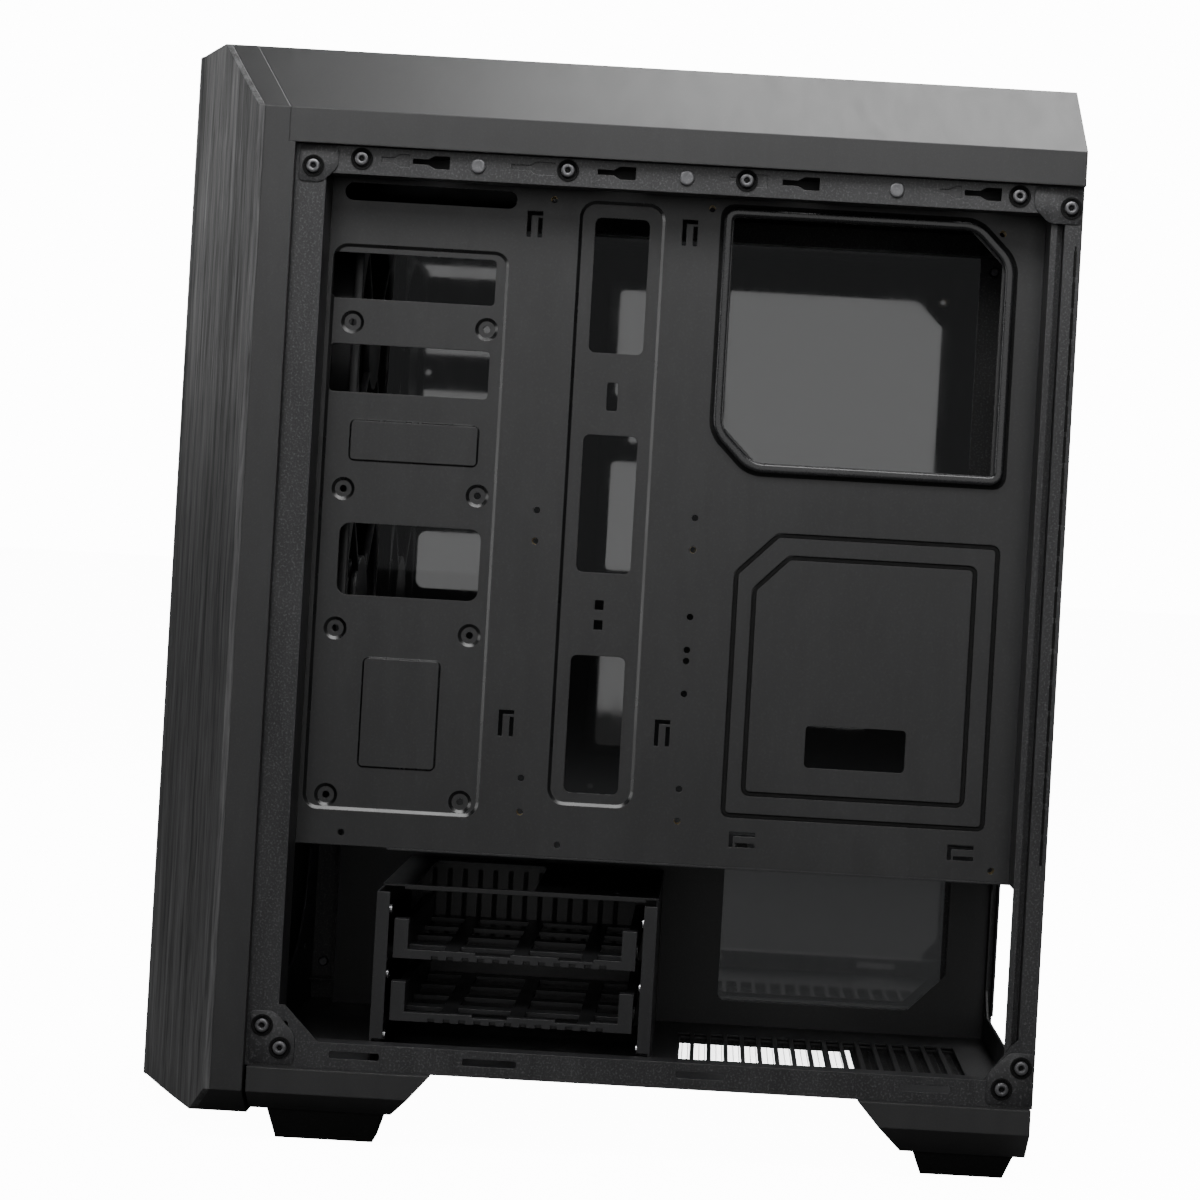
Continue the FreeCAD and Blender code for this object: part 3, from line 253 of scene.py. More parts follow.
def edge_group() -> bpy.types.NodeTree:
    """Wear and painted highlight along outer edges: a mask from how far a rounded normal turns from the true
    one.

    Returns:
        The node group.
    """

    def fill(bench: Bench, given: bpy.types.Node, out: bpy.types.Node) -> None:
        """Compare the rounded and the true normal, and break the result up.

        Args:
            bench: the group's bench.
            given: its input node.
            out: its output node.
        """
        rounded = bench.add("Bevel", {"Radius": given.outputs["Width"]}, samples=BEVEL_SAMPLES)
        true = bench.add("NewGeometry").outputs["True Normal"]
        dot = bench.add("VectorMath", {0: rounded.outputs[0], 1: true}, operation="DOT_PRODUCT")
        turn = bench.math("SUBTRACT", 1.0, dot.outputs["Value"])
        edge = bench.remap(turn, 0.02, 0.25, 0.0, 1.0)
        place = bench.add("TexCoord").outputs["Object"]
        chips = bench.add("TexNoise", {"Vector": place, "Scale": 160.0, "Detail": 4.0})
        broken = bench.remap(chips.outputs["Fac"], 0.4, 0.62, 0.15, 1.0)
        worn = bench.math("MULTIPLY", edge, broken)
        bench.tree.links.new(bench.math("MULTIPLY", worn, given.outputs["Amount"]), out.inputs["Mask"])

    return new_group("edge_wear_and_highlight", {"Width": 0.0006, "Amount": 0.5}, ("Mask",), fill)


def slope_shade_group() -> bpy.types.NodeTree:
    """Mask of painted shade on the sloped walls of a sheet pressed along X, made a little uneven by slow
    noise.

    Returns:
        The node group.
    """

    def fill(bench: Bench, given: bpy.types.Node, out: bpy.types.Node) -> None:
        """Measure how far the surface turns from the sheet's own plane.

        Args:
            bench: the group's bench.
            given: its input node.
            out: its output node.
        """
        normal = bench.add("TexCoord").outputs["Normal"]
        parts = bench.add("SeparateXYZ", {"Vector": normal})
        square_on = bench.math("ABSOLUTE", parts.outputs["X"])
        turned = bench.remap(square_on, 0.985, 0.93, 0.0, 1.0)
        place = bench.add("TexCoord").outputs["Object"]
        drift = bench.add("TexNoise", {"Vector": place, "Scale": 60.0, "Detail": 3.0})
        uneven = bench.remap(drift.outputs["Fac"], 0.3, 0.7, 0.82, 1.0)
        painted_shade = bench.math("MULTIPLY", turned, uneven)
        bench.tree.links.new(bench.math("MULTIPLY", painted_shade, given.outputs["Amount"]), out.inputs["Mask"])

    return new_group("slope_painted_shade", {"Amount": 1.0}, ("Mask",), fill)


# ------------------------------------------------------------------ finishes
Colour = tuple[float, float, float]


def opaque(colour: Colour) -> tuple[float, float, float, float]:
    """Give a colour its alpha."""
    return (*colour, 1.0)


@dataclass(frozen=True)
class Coat:
    """A painted, moulded or plated surface with grain, unevenness, edges lightened for wear and as a painted
    highlight, and, where pressed is set, painted shade on sloped walls.
    """

    name: str
    colour: Colour
    high: Colour
    roughness: float
    metallic: float = 0.0
    grain: float = 900.0
    depth: float = 0.00002
    speckle: float = 0.5
    cloud: float = 0.4
    wear_and_highlight: float = 0.4
    rounding: float = 0.0005
    specular: float = 0.5
    coat: float = 0.0
    # pressed: amount of painted shade on walls turned from a pressed sheet's plane.
    pressed: float = 0.0

    def build(self) -> bpy.types.Material:
        """Make the material.

        Returns:
            The finished material.
        """
        material, bench, shader = start_material(self.name)
        grain = bench.group(grain_group(), {"Scale": self.grain, "Speckle": self.speckle})
        cloud = bench.group(cloud_group(), {"Amount": self.cloud}).outputs["Mask"]
        edge = bench.group(edge_group(), {"Width": self.rounding * 1.4, "Amount": self.wear_and_highlight}).outputs["Mask"]
        lift = bench.math("ADD", bench.math("MULTIPLY", cloud, 0.35), grain.outputs["Speckle"], clamp=True)
        # Edges lift towards the high colour: wear, and a painted highlight along edges.
        lift = bench.math("MAXIMUM", lift, edge)
        link = bench.tree.links.new
        tone = bench.mix(lift, opaque(self.colour), opaque(self.high))
        rough = bench.math("ADD", self.roughness, bench.math("MULTIPLY", cloud, 0.12))
        rough = bench.math("SUBTRACT", rough, bench.math("MULTIPLY", edge, 0.12), clamp=True)
        # Painted shade: walls turned from the sheet's plane go near-black and glossier.
        if self.pressed:
            slope_shade_mask = bench.group(slope_shade_group(), {"Amount": self.pressed}).outputs["Mask"]
            tone = bench.mix(slope_shade_mask, tone, SLOPE_SHADE_COLOUR)
            rough = bench.math("SUBTRACT", rough, bench.math("MULTIPLY", slope_shade_mask, 0.20), clamp=True)
        link(tone, shader.inputs["Base Color"])
        link(rough, shader.inputs["Roughness"])
        shader.inputs["Metallic"].default_value = self.metallic
        shader.inputs["Specular IOR Level"].default_value = self.specular
        shader.inputs["Coat Weight"].default_value = self.coat
        shader.inputs["Coat Roughness"].default_value = 0.12
        round_off = bench.add("Bevel", {"Radius": self.rounding}, samples=BEVEL_SAMPLES)
        bump = bench.add("Bump", {"Strength": 0.9, "Distance": self.depth, "Height": grain.outputs["Height"],
                                  "Normal": round_off.outputs[0]})
        link(bump.outputs[0], shader.inputs["Normal"])
        return material


def start_material(name: str) -> tuple[bpy.types.Material, Bench, bpy.types.Node]:
    """Start a material with a Principled shader on its output.

    Args:
        name: the material's name.

    Returns:
        The material, its bench and its shader node.
    """
    material = bpy.data.materials.new(name)
    material.use_nodes = True
    bench = Bench(material.node_tree)
    shader = bench.add("BsdfPrincipled")
    out = bench.add("OutputMaterial")
    bench.tree.links.new(shader.outputs[0], out.inputs["Surface"])
    return material, bench, shader


@dataclass(frozen=True)
class BrushedSkin:
    """A charcoal skin with long upright strokes, like a combed or brushed board."""

    name: str
    dark: Colour
    light: Colour
    roughness: float

    def build(self) -> bpy.types.Material:
        """Make the material.

        Returns:
            The finished material.
        """
        material, bench, shader = start_material(self.name)
        place = bench.add("TexCoord").outputs["Object"]
        sway = bench.add("TexNoise", {"Vector": place, "Scale": 11.0, "Detail": 2.0})
        shift = bench.add("VectorMath", {0: sway.outputs["Color"], 1: (0.006, 0.006, 0.0)},
                          operation="MULTIPLY")
        bent = bench.add("VectorMath", {0: place, 1: shift.outputs[0]}, operation="ADD")
        comb = bench.add("Mapping", {"Vector": bent.outputs[0], "Scale": (1.0, 1.0, 0.035)})
        strokes = bench.add("TexNoise", {"Vector": comb.outputs[0], "Scale": 210.0, "Detail": 6.0,
                                         "Roughness": 0.72})
        fine = bench.add("TexNoise", {"Vector": comb.outputs[0], "Scale": 1100.0, "Detail": 3.0})
        both = bench.math("ADD", bench.math("MULTIPLY", strokes.outputs["Fac"], 0.7),
                          bench.math("MULTIPLY", fine.outputs["Fac"], 0.3))
        tone = bench.remap(both, 0.38, 0.64, 0.0, 1.0)
        link = bench.tree.links.new
        link(bench.mix(tone, opaque(self.dark), opaque(self.light)), shader.inputs["Base Color"])
        link(bench.remap(tone, 0.0, 1.0, self.roughness + 0.12, self.roughness - 0.08),
             shader.inputs["Roughness"])
        round_off = bench.add("Bevel", {"Radius": 0.0006}, samples=BEVEL_SAMPLES)
        bump = bench.add("Bump", {"Strength": 0.8, "Distance": 0.00025, "Height": both,
                                  "Normal": round_off.outputs[0]})
        link(bump.outputs[0], shader.inputs["Normal"])
        return material


@dataclass(frozen=True)
class SmokedGlass:
    """Smoked toughened glass with faint dust and wiping marks in its gloss."""

    name: str
    tint: Colour
    roughness: float
    index: float = 1.75

    def build(self) -> bpy.types.Material:
        """Make the material.

        Returns:
            The finished material.
        """
        material, bench, shader = start_material(self.name)
        shader.inputs["Base Color"].default_value = opaque(self.tint)
        shader.inputs["Transmission Weight"].default_value = 1.0
        shader.inputs["IOR"].default_value = self.index
        cloud = bench.group(cloud_group(), {"Scale": 5.0, "Amount": 1.0}).outputs["Mask"]
        bench.tree.links.new(bench.remap(cloud, 0.0, 1.0, self.roughness, self.roughness + 0.05),
                             shader.inputs["Roughness"])
        return material


@dataclass(frozen=True)
class Lamp:
    """A clear light pipe, half transmissive, with a fine pale speckle."""

    name: str
    colour: Colour

    def build(self) -> bpy.types.Material:
        """Make the material.

        Returns:
            The finished material.
        """
        material, bench, shader = start_material(self.name)
        grain = bench.group(grain_group(), {"Scale": 1500.0, "Speckle": 0.4})
        bench.tree.links.new(bench.mix(grain.outputs["Speckle"], opaque(self.colour), WHITE),
                             shader.inputs["Base Color"])
        shader.inputs["Roughness"].default_value = 0.25
        shader.inputs["Transmission Weight"].default_value = 0.5
        return material


FINISHES: dict[str, Coat | BrushedSkin | SmokedGlass | Lamp] = {
    "chassis": Coat("chassis_powder_coat", (0.011, 0.011, 0.012), (0.095, 0.095, 0.098), 0.40, grain=1000.0,
                    depth=0.00007, speckle=0.55, cloud=0.4, wear_and_highlight=0.35),
    "inner_sheet": Coat("inner_satin_black", (0.010, 0.010, 0.011), (0.035, 0.035, 0.036), 0.46, speckle=0.25,
                        depth=0.00002, cloud=0.5, wear_and_highlight=0.25),
    "tray_sheet": Coat("tray_satin_black", (0.012, 0.012, 0.0125), (0.042, 0.042, 0.043), 0.42, speckle=0.2,
                       depth=0.00002, cloud=0.6, wear_and_highlight=0.3, pressed=0.95),
    "cage_sheet": Coat("cage_satin_black", (0.008, 0.008, 0.009), (0.04, 0.04, 0.041), 0.38, speckle=0.2,
                       wear_and_highlight=0.5),
    "edge_trim": Coat("rolled_edge", (0.010, 0.010, 0.011), (0.07, 0.07, 0.07), 0.16, speckle=0.1,
                      cloud=0.3, wear_and_highlight=0.5),
    "brass_standoff": Coat("turned_brass", (0.60, 0.43, 0.17), (0.85, 0.70, 0.42), 0.28, 1.0, grain=700.0,
                           speckle=0.3, wear_and_highlight=0.3, rounding=0.0002),
    "bright_screw": Coat("nickel_plate", (0.62, 0.62, 0.64), (0.9, 0.9, 0.9), 0.22, 1.0, speckle=0.2,
                         wear_and_highlight=0.2, rounding=0.0002),
    "black_screw": Coat("black_zinc", (0.10, 0.10, 0.105), (0.42, 0.42, 0.43), 0.3, 0.7, speckle=0.2,
                        wear_and_highlight=0.9, rounding=0.0003),
    "trim_plastic": Coat("satin_grained_plastic", (0.017, 0.017, 0.0175), (0.042, 0.042, 0.043), 0.40,
                         grain=1500.0, depth=0.000025, speckle=0.25, cloud=0.5, wear_and_highlight=0.3, rounding=0.0008),
    "brushed_fascia": BrushedSkin("combed_charcoal", (0.012, 0.012, 0.0125), (0.11, 0.11, 0.112), 0.48),
    "filter_screen": Coat("nylon_screen", (0.03, 0.03, 0.031), (0.09, 0.09, 0.09), 0.5, speckle=0.3),
    "rubber_black": Coat("soft_rubber", (0.004, 0.004, 0.004), (0.014, 0.014, 0.014), 0.78, speckle=0.4,
                         depth=0.00003, rounding=0.0010, specular=0.2),
    "bush_rubber": Coat("bush_rubber", (0.02, 0.02, 0.02), (0.06, 0.06, 0.06), 0.6, rounding=0.0004),
    "gloss_panel": Coat("polished_black", (0.012, 0.012, 0.013), (0.05, 0.05, 0.05), 0.16, speckle=0.05,
                        depth=0.000004, cloud=0.5, wear_and_highlight=0.2, rounding=0.0003, coat=0.4),
    "circuit_board": Coat("green_solder_mask", (0.012, 0.07, 0.035), (0.03, 0.16, 0.08), 0.3, grain=400.0,
                          speckle=0.3, rounding=0.0002),
    "socket_metal": Coat("stamped_steel", (0.52, 0.52, 0.54), (0.8, 0.8, 0.8), 0.3, 1.0, grain=1400.0,
                         speckle=0.3, rounding=0.00015),
    "tongue_plastic": Coat("socket_plastic", (0.016, 0.016, 0.017), (0.05, 0.05, 0.05), 0.4,
                           rounding=0.0002),
    "light_pipe": Lamp("light_pipe", (0.7, 0.75, 0.8)),
    "smoked_glass": SmokedGlass("smoked_glass", (0.20, 0.205, 0.21), 0.02),
    "sled_plastic": Coat("sled_plastic", (0.010, 0.010, 0.011), (0.036, 0.036, 0.037), 0.36, grain=1300.0,
                         depth=0.00002, speckle=0.25, wear_and_highlight=0.4),
    "fan_plastic": Coat("fan_plastic", (0.015, 0.015, 0.016), (0.05, 0.05, 0.05), 0.38, grain=1300.0,
                        depth=0.00002, speckle=0.2, wear_and_highlight=0.3),
}


class FinishRack:
    """Every finish of the case, made once and handed out by its slot name."""

    def __init__(self) -> None:
        """Make all the materials."""
        self.materials = {slot: finish.build() for slot, finish in FINISHES.items()}

    def slot_of(self, node: str) -> str:
        """Give the slot that the record names for a CAD node."""
        return next(part["material_slot"] for part in frame["record"]["subparts"] if part["node"] == node)

    def dress(self, piece: bpy.types.Object, slot: str) -> None:
        """Give a piece one finish all over.

        Args:
            piece: the object to dress.
            slot: the finish's slot name.
        """
        piece.data.materials.clear()
        piece.data.materials.append(self.materials[slot])

    def dress_frame(self, subparts: Iterable[dict]) -> None:
        """Give each CAD node the finish of its slot.

        Args:
            subparts: the record's sub-parts, each with its node and slot.
        """
        for part in subparts:
            self.dress(frame["nodes"][part["node"]], part["material_slot"])
            LOG.info("dressed %s in %s", part["node"], part["material_slot"])


# ------------------------------------------------------------------ the workbench
class Facing(Enum):
    """Directions that a face can look in."""

    RIGHT = (1.0, 0.0, 0.0)
    LEFT = (-1.0, 0.0, 0.0)
    REAR = (0.0, 1.0, 0.0)
    FRONT = (0.0, -1.0, 0.0)
    UP = (0.0, 0.0, 1.0)
    DOWN = (0.0, 0.0, -1.0)

    def matches(self, normal: Vector, slack: float = 0.05) -> bool:
        """Say whether a normal looks this way."""
        return normal.dot(Vector(self.value)) > 1.0 - slack


class Spindle(Enum):
    """The axis that a turned piece stands along, as the turn that lays a Z cylinder on it."""

    X = (0.0, math.pi / 2, 0.0)
    Y = (math.pi / 2, 0.0, 0.0)


FaceTest = Callable[[Vector, Vector], bool]
EdgeTest = Callable[[Vector, Vector], bool]
PointTest = Callable[[Vector], bool]


class Blank:
    """A mesh on the bench, started from a primitive and shaped with edit-mode tools."""

    def __init__(self, shape: bpy.types.Object, name: str) -> None:
        """Take over a new object.

        Args:
            shape: the object just added.
            name: the name of the piece.
        """
        self.shape = shape
        shape.name = name
        shape.data.name = name
        self.hold()
        bpy.ops.object.transform_apply(location=True, rotation=True, scale=True)

    @classmethod
    def block(cls, name: str, low: Sequence[float], high: Sequence[float]) -> "Blank":
        """Start from a block.

        Args:
            name: the piece's name.
            low: its lowest corner, in metres.
            high: its highest corner.

        Returns:
            The block.
        """
        bpy.ops.object.select_all(action="DESELECT")
        low, high = Vector(low), Vector(high)
        bpy.ops.mesh.primitive_cube_add(size=1.0, location=(low + high) / 2, scale=high - low)
        return cls(bpy.context.object, name)

    @classmethod
    def rod(cls, name: str, spindle: Spindle, centre: Sequence[float], radius: float, length: float,
            sides: int = 32) -> "Blank":
        """Start from a round bar.

        Args:
            name: the piece's name.
            spindle: the axis it stands along.
            centre: its middle, in metres.
            radius: its radius.
            length: its length.
            sides: how many sides it has.

        Returns:
            The bar.
        """
        bpy.ops.object.select_all(action="DESELECT")
        bpy.ops.mesh.primitive_cylinder_add(vertices=sides, radius=radius, depth=length, location=centre,
                                            rotation=spindle.value)
        return cls(bpy.context.object, name)

    @classmethod
    def sheet(cls, name: str, spindle: Spindle, centre: Sequence[float],
              size: tuple[float, float]) -> "Blank":
        """Start from a flat rectangle square to an axis.

        Args:
            name: the piece's name.
            spindle: the axis it is square to.
            centre: its middle, in metres.
            size: its two sides before it is turned.

        Returns:
            The rectangle.
        """
        bpy.ops.object.select_all(action="DESELECT")
        bpy.ops.mesh.primitive_plane_add(size=1.0, location=centre, rotation=spindle.value)
        bpy.context.object.scale = (size[0], size[1], 1.0)
        return cls(bpy.context.object, name)

    def hold(self) -> None:
        """Make this the only selected object, and the active one."""
        bpy.ops.object.select_all(action="DESELECT")
        self.shape.select_set(True)
        bpy.context.view_layer.objects.active = self.shape

    def clear(self, kind: str) -> None:
        """Leave nothing selected in the mesh.

        Args:
            kind: what is to be picked next: VERT, EDGE or FACE.
        """
        self.hold()
        bpy.ops.object.mode_set(mode="EDIT")
        bpy.ops.mesh.select_mode(type=kind)
        bpy.ops.mesh.select_all(action="DESELECT")
        bpy.ops.object.mode_set(mode="OBJECT")

    def faces(self, test: FaceTest) -> "Blank":
        """Open the mesh with only some faces selected.

        Args:
            test: says yes to a face's centre and normal.

        Returns:
            This blank, in edit mode.
        """
        self.clear("FACE")
        for face in self.shape.data.polygons:
            face.select = test(face.center, face.normal)
        bpy.ops.object.mode_set(mode="EDIT")
        return self

    def edges(self, test: EdgeTest) -> "Blank":
        """Open the mesh with only some edges selected.

        Args:
            test: says yes to an edge's two ends.

        Returns:
            This blank, in edit mode.
        """
        self.clear("EDGE")
        corners = self.shape.data.vertices
        for edge in self.shape.data.edges:
            edge.select = test(*(corners[i].co for i in edge.vertices))
        bpy.ops.object.mode_set(mode="EDIT")
        return self

    def points(self, test: PointTest) -> "Blank":
        """Open the mesh with only some vertices selected.

        Args:
            test: says yes to a vertex's place.

        Returns:
            This blank, in edit mode.
        """
        self.clear("VERT")
        for vertex in self.shape.data.vertices:
            vertex.select = test(vertex.co)
        bpy.ops.object.mode_set(mode="EDIT")
        return self

    def clip(self, test: PointTest, size: float, segments: int = 1) -> "Blank":
        """Cut or round some corners of a flat outline.

        Args:
            test: says yes to a corner's place.
            size: how far the cut starts from the corner.
            segments: 1 for a straight cut, more for a round one.

        Returns:
            This blank.
        """
        self.points(test)
        bpy.ops.mesh.bevel(offset=size, segments=segments, affect="VERTICES")
        return self.close()

    def thicken(self, x: float, height: float) -> "Blank":
        """Give a flat outline square to X its thickness, towards the open side.

        Args:
            x: where its back lies.
            height: how thick it is.

        Returns:
            This blank.
        """
        self.modify("SOLIDIFY", thickness=height, offset=1.0).right_normals()
        back = min(vertex.co.x for vertex in self.shape.data.vertices)
        self.shape.data.transform(Matrix.Translation((x - back, 0.0, 0.0)))
        return self

    def close(self) -> "Blank":
        """Leave edit mode."""
        bpy.ops.object.mode_set(mode="OBJECT")
        return self

    def inset(self, width: float, sink: float = 0.0) -> "Blank":
        """Inset the selected faces, and sink or raise the result."""
        bpy.ops.mesh.inset(thickness=width, depth=sink)
        return self

    def pull(self, offset: Sequence[float]) -> "Blank":
        """Extrude the selected faces by an offset."""
        bpy.ops.mesh.extrude_region_move(TRANSFORM_OT_translate={"value": tuple(offset)})
        return self

    def modify(self, kind: str, **settings: object) -> "Blank":
        """Add a modifier and apply it.

        Args:
            kind: the modifier's type.
            settings: attributes to set on it.

        Returns:
            This blank.
        """
        self.hold()
        modifier = self.shape.modifiers.new(kind.lower(), kind)
        for name, value in settings.items():
            setattr(modifier, name, value)
        bpy.ops.object.modifier_apply(modifier=modifier.name)
        return self

    def soften(self, width: float, segments: int = 2, angle: float = 30.0) -> "Blank":
        """Round the sharp edges."""
        return self.modify("BEVEL", width=width, segments=segments, limit_method="ANGLE",
                           angle_limit=math.radians(angle), harden_normals=False)

    def cut(self, tool: "Blank") -> "Blank":
        """Cut another blank out of this one and throw the tool away.

        Args:
            tool: the blank that cuts.

        Returns:
            This blank.
        """
        self.modify("BOOLEAN", operation="DIFFERENCE", object=tool.shape, solver="EXACT")
        bpy.data.objects.remove(tool.shape)
        return self

    def copy(self, name: str, move: Matrix) -> "Blank":
        """Copy this blank with its own mesh.

        Args:
            name: the copy's name.
            move: where the copy is placed.

        Returns:
            The copy.
        """
        twin = self.shape.copy()
        twin.data = self.shape.data.copy()
        twin.data.transform(move)
        bpy.context.scene.collection.objects.link(twin)
        return Blank(twin, name)

    def join(self, others: Sequence["Blank"]) -> "Blank":
        """Join other blanks into this one.

        Args:
            others: the blanks to take in.

        Returns:
            This blank.
        """
        self.hold()
        for other in others:
            other.shape.select_set(True)
        bpy.ops.object.join()
        return self

    def repeat(self, places: Sequence[Sequence[float]]) -> "Blank":
        """Repeat this blank, made at the origin, at each place, and keep only the repeats.

        Args:
            places: where the repeats go.

        Returns:
            The repeats as one blank.
        """
        twins = [self.copy(self.shape.name + "_twin", Matrix.Translation(place)) for place in places]
        bpy.data.objects.remove(self.shape)
        first = twins[0]
        return first.join(twins[1:]) if len(twins) > 1 else first

    def right_normals(self) -> "Blank":
        """Merge doubles and turn every face outwards.

        Returns:
            This blank.
        """
        self.faces(lambda centre, normal: True)
        bpy.ops.mesh.remove_doubles(threshold=0.000002)
        bpy.ops.mesh.normals_make_consistent(inside=False)
        return self.close()

    def release(self, name: str, rack: FinishRack, slot: str, body: str,
                angle: float = 35.0) -> bpy.types.Object:
        """Smooth, dress and place the finished piece.

        Args:
            name: its final name.
            rack: the finishes.
            slot: the finish's slot.
            body: the body that it moves with.
            angle: edges sharper than this stay sharp, in degrees.

        Returns:
            The piece.
        """
        self.hold()
        bpy.ops.object.shade_smooth_by_angle(angle=math.radians(angle))
        self.shape.name = name
        self.shape.data.name = name
        rack.dress(self.shape, slot)
        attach(self.shape, body)
        LOG.info("made %s: %d faces", name, len(self.shape.data.polygons))
        return self.shape


# ------------------------------------------------------------------ fasteners of the open side
@dataclass
class RailFasteners:
    """Socket screws, each with a near-black ring round it and a near-black disc in its socket as painted
    shade, and flat rivets, along the rails and posts of the open side.
    """

    rack: FinishRack
    face_x: float = 0.098
    row_z: float = 0.4460
    screw_ys: tuple[float, ...] = (-0.1164, -0.0233, 0.0576, 0.1809)
    rivet_ys: tuple[float, ...] = (-0.0639, 0.0305, 0.1254)
    corners: tuple[tuple[float, float], ...] = ((-0.1380, 0.4416), (0.2044, 0.4418), (-0.1390, 0.0534),
                                                (-0.1305, 0.0436), (0.2038, 0.0534), (0.1955, 0.0434))
    head: float = 0.0030
    # seat: radius of the near-black ring of painted shade round each head; socket: radius of the near-black
    # disc of painted shade in each socket.
    seat: float = 0.0050
    rise: float = 0.0013
    socket: float = 0.00132
    rivet_head: float = 0.0034
    gusset: float = 0.0006
    gusset_round: float = 0.0022
    gussets: tuple[tuple[float, float, float, float, float], ...] = (
        (-0.1445, -0.1268, 0.4345, 0.4512, 0.0070), (0.1875, 0.2095, 0.4345, 0.4512, 0.0070),
        (-0.1445, -0.1240, 0.0362, 0.0600, 0.0100), (0.1885, 0.2095, 0.0362, 0.0600, 0.0100))

    def plate(self, low_y: float, high_y: float, low_z: float, high_z: float, clip: float) -> Blank:
        """Cut one thin corner plate under its screws, its inner corner clipped and the rest rounded.

        Args:
            low_y: its front end.
            high_y: its rear end.
            low_z: its lower edge.
            high_z: its upper edge.
            clip: the size of the clipped corner.

        Returns:
            The plate.
        """
        centre = (self.face_x, (low_y + high_y) / 2, (low_z + high_z) / 2)
        plate = Blank.sheet("plate", Spindle.X, centre, (high_z - low_z, high_y - low_y))
        at_rear, at_top = centre[1] > 0.0, centre[2] > CAD_BOX[1][2] / 2
        inner = Vector((self.face_x, low_y if at_rear else high_y, low_z if at_top else high_z))
        plate.clip(lambda place: (place - inner).length < CORNER_SLACK, clip)
        plate.clip(lambda place: True, self.gusset_round, 4)
        return plate.thicken(self.face_x, self.gusset).soften(0.00015, 2)

    def screw(self) -> Blank:
        """Turn one domed head with a deep socket.

        Returns:
            The head, its back at the origin.
        """
        head = Blank.rod("screw", Spindle.X, (self.rise / 2, 0.0, 0.0), self.head, self.rise, 30)
        head.faces(lambda centre, normal: Facing.RIGHT.matches(normal)).inset(0.0007, 0.0002)
        head.inset(0.0009, 0.0).inset(0.0001, -0.0009).close()
        return head.soften(0.00018, 2)

    def painted_shade_rings(self) -> Blank:
        """Turn the near-black ring round the head and the near-black six-sided disc in its socket: painted
        shade of the recess round the head and of the socket.

        Returns:
            The ring and the recess as one blank.
        """
        ring = Blank.rod("seat", Spindle.X, (0.0002, 0.0, 0.0), self.seat, 0.0004, 40)
        ring.faces(lambda centre, normal: Facing.RIGHT.matches(normal)).inset(0.0009, 0.0)
        ring.inset(0.0001, -0.0003).close()
        socket = Blank.rod("socket", Spindle.X, (0.00035, 0.0, 0.0), self.socket, 0.0007, 6)
        return ring.join([socket.soften(0.0001, 1)])

    def rivet(self) -> Blank:
        """Turn one flat rivet with a dished crown.

        Returns:
            The rivet, its back at the origin.
        """
        head = Blank.rod("rivet", Spindle.X, (0.00045, 0.0, 0.0), self.rivet_head, 0.0009, 32)
        head.faces(lambda centre, normal: Facing.RIGHT.matches(normal)).inset(0.0009, 0.00025)
        head.inset(0.0010, -0.00015).close()
        return head.soften(0.0002, 2)

    def build(self) -> None:
        """Place every screw, ring and disc of painted shade, rivet and corner plate."""
        places = [(self.face_x, y, self.row_z) for y in self.screw_ys]
        places += [(self.face_x + self.gusset, y, z) for y, z in self.corners]
        screws = self.screw().repeat(places).release("rail_screws", self.rack, "black_screw", "case")
        # Painted shade: near-black rings round the heads and discs in their sockets.
        painted_shades = self.painted_shade_rings().repeat(places).release("rail_screw_painted_shade", self.rack, "rubber_black", "case")
        rivets = self.rivet().repeat([(self.face_x, y, self.row_z - 0.0004) for y in self.rivet_ys])
        rivets = rivets.release("rail_rivets", self.rack, "black_screw", "case")
        plates = [self.plate(*outline) for outline in self.gussets]
        gussets = plates[0].join(plates[1:]).release("corner_gussets", self.rack, "chassis", "case")
        for piece in (screws, painted_shades, rivets, gussets):
            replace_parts(piece, "rail_fasteners")


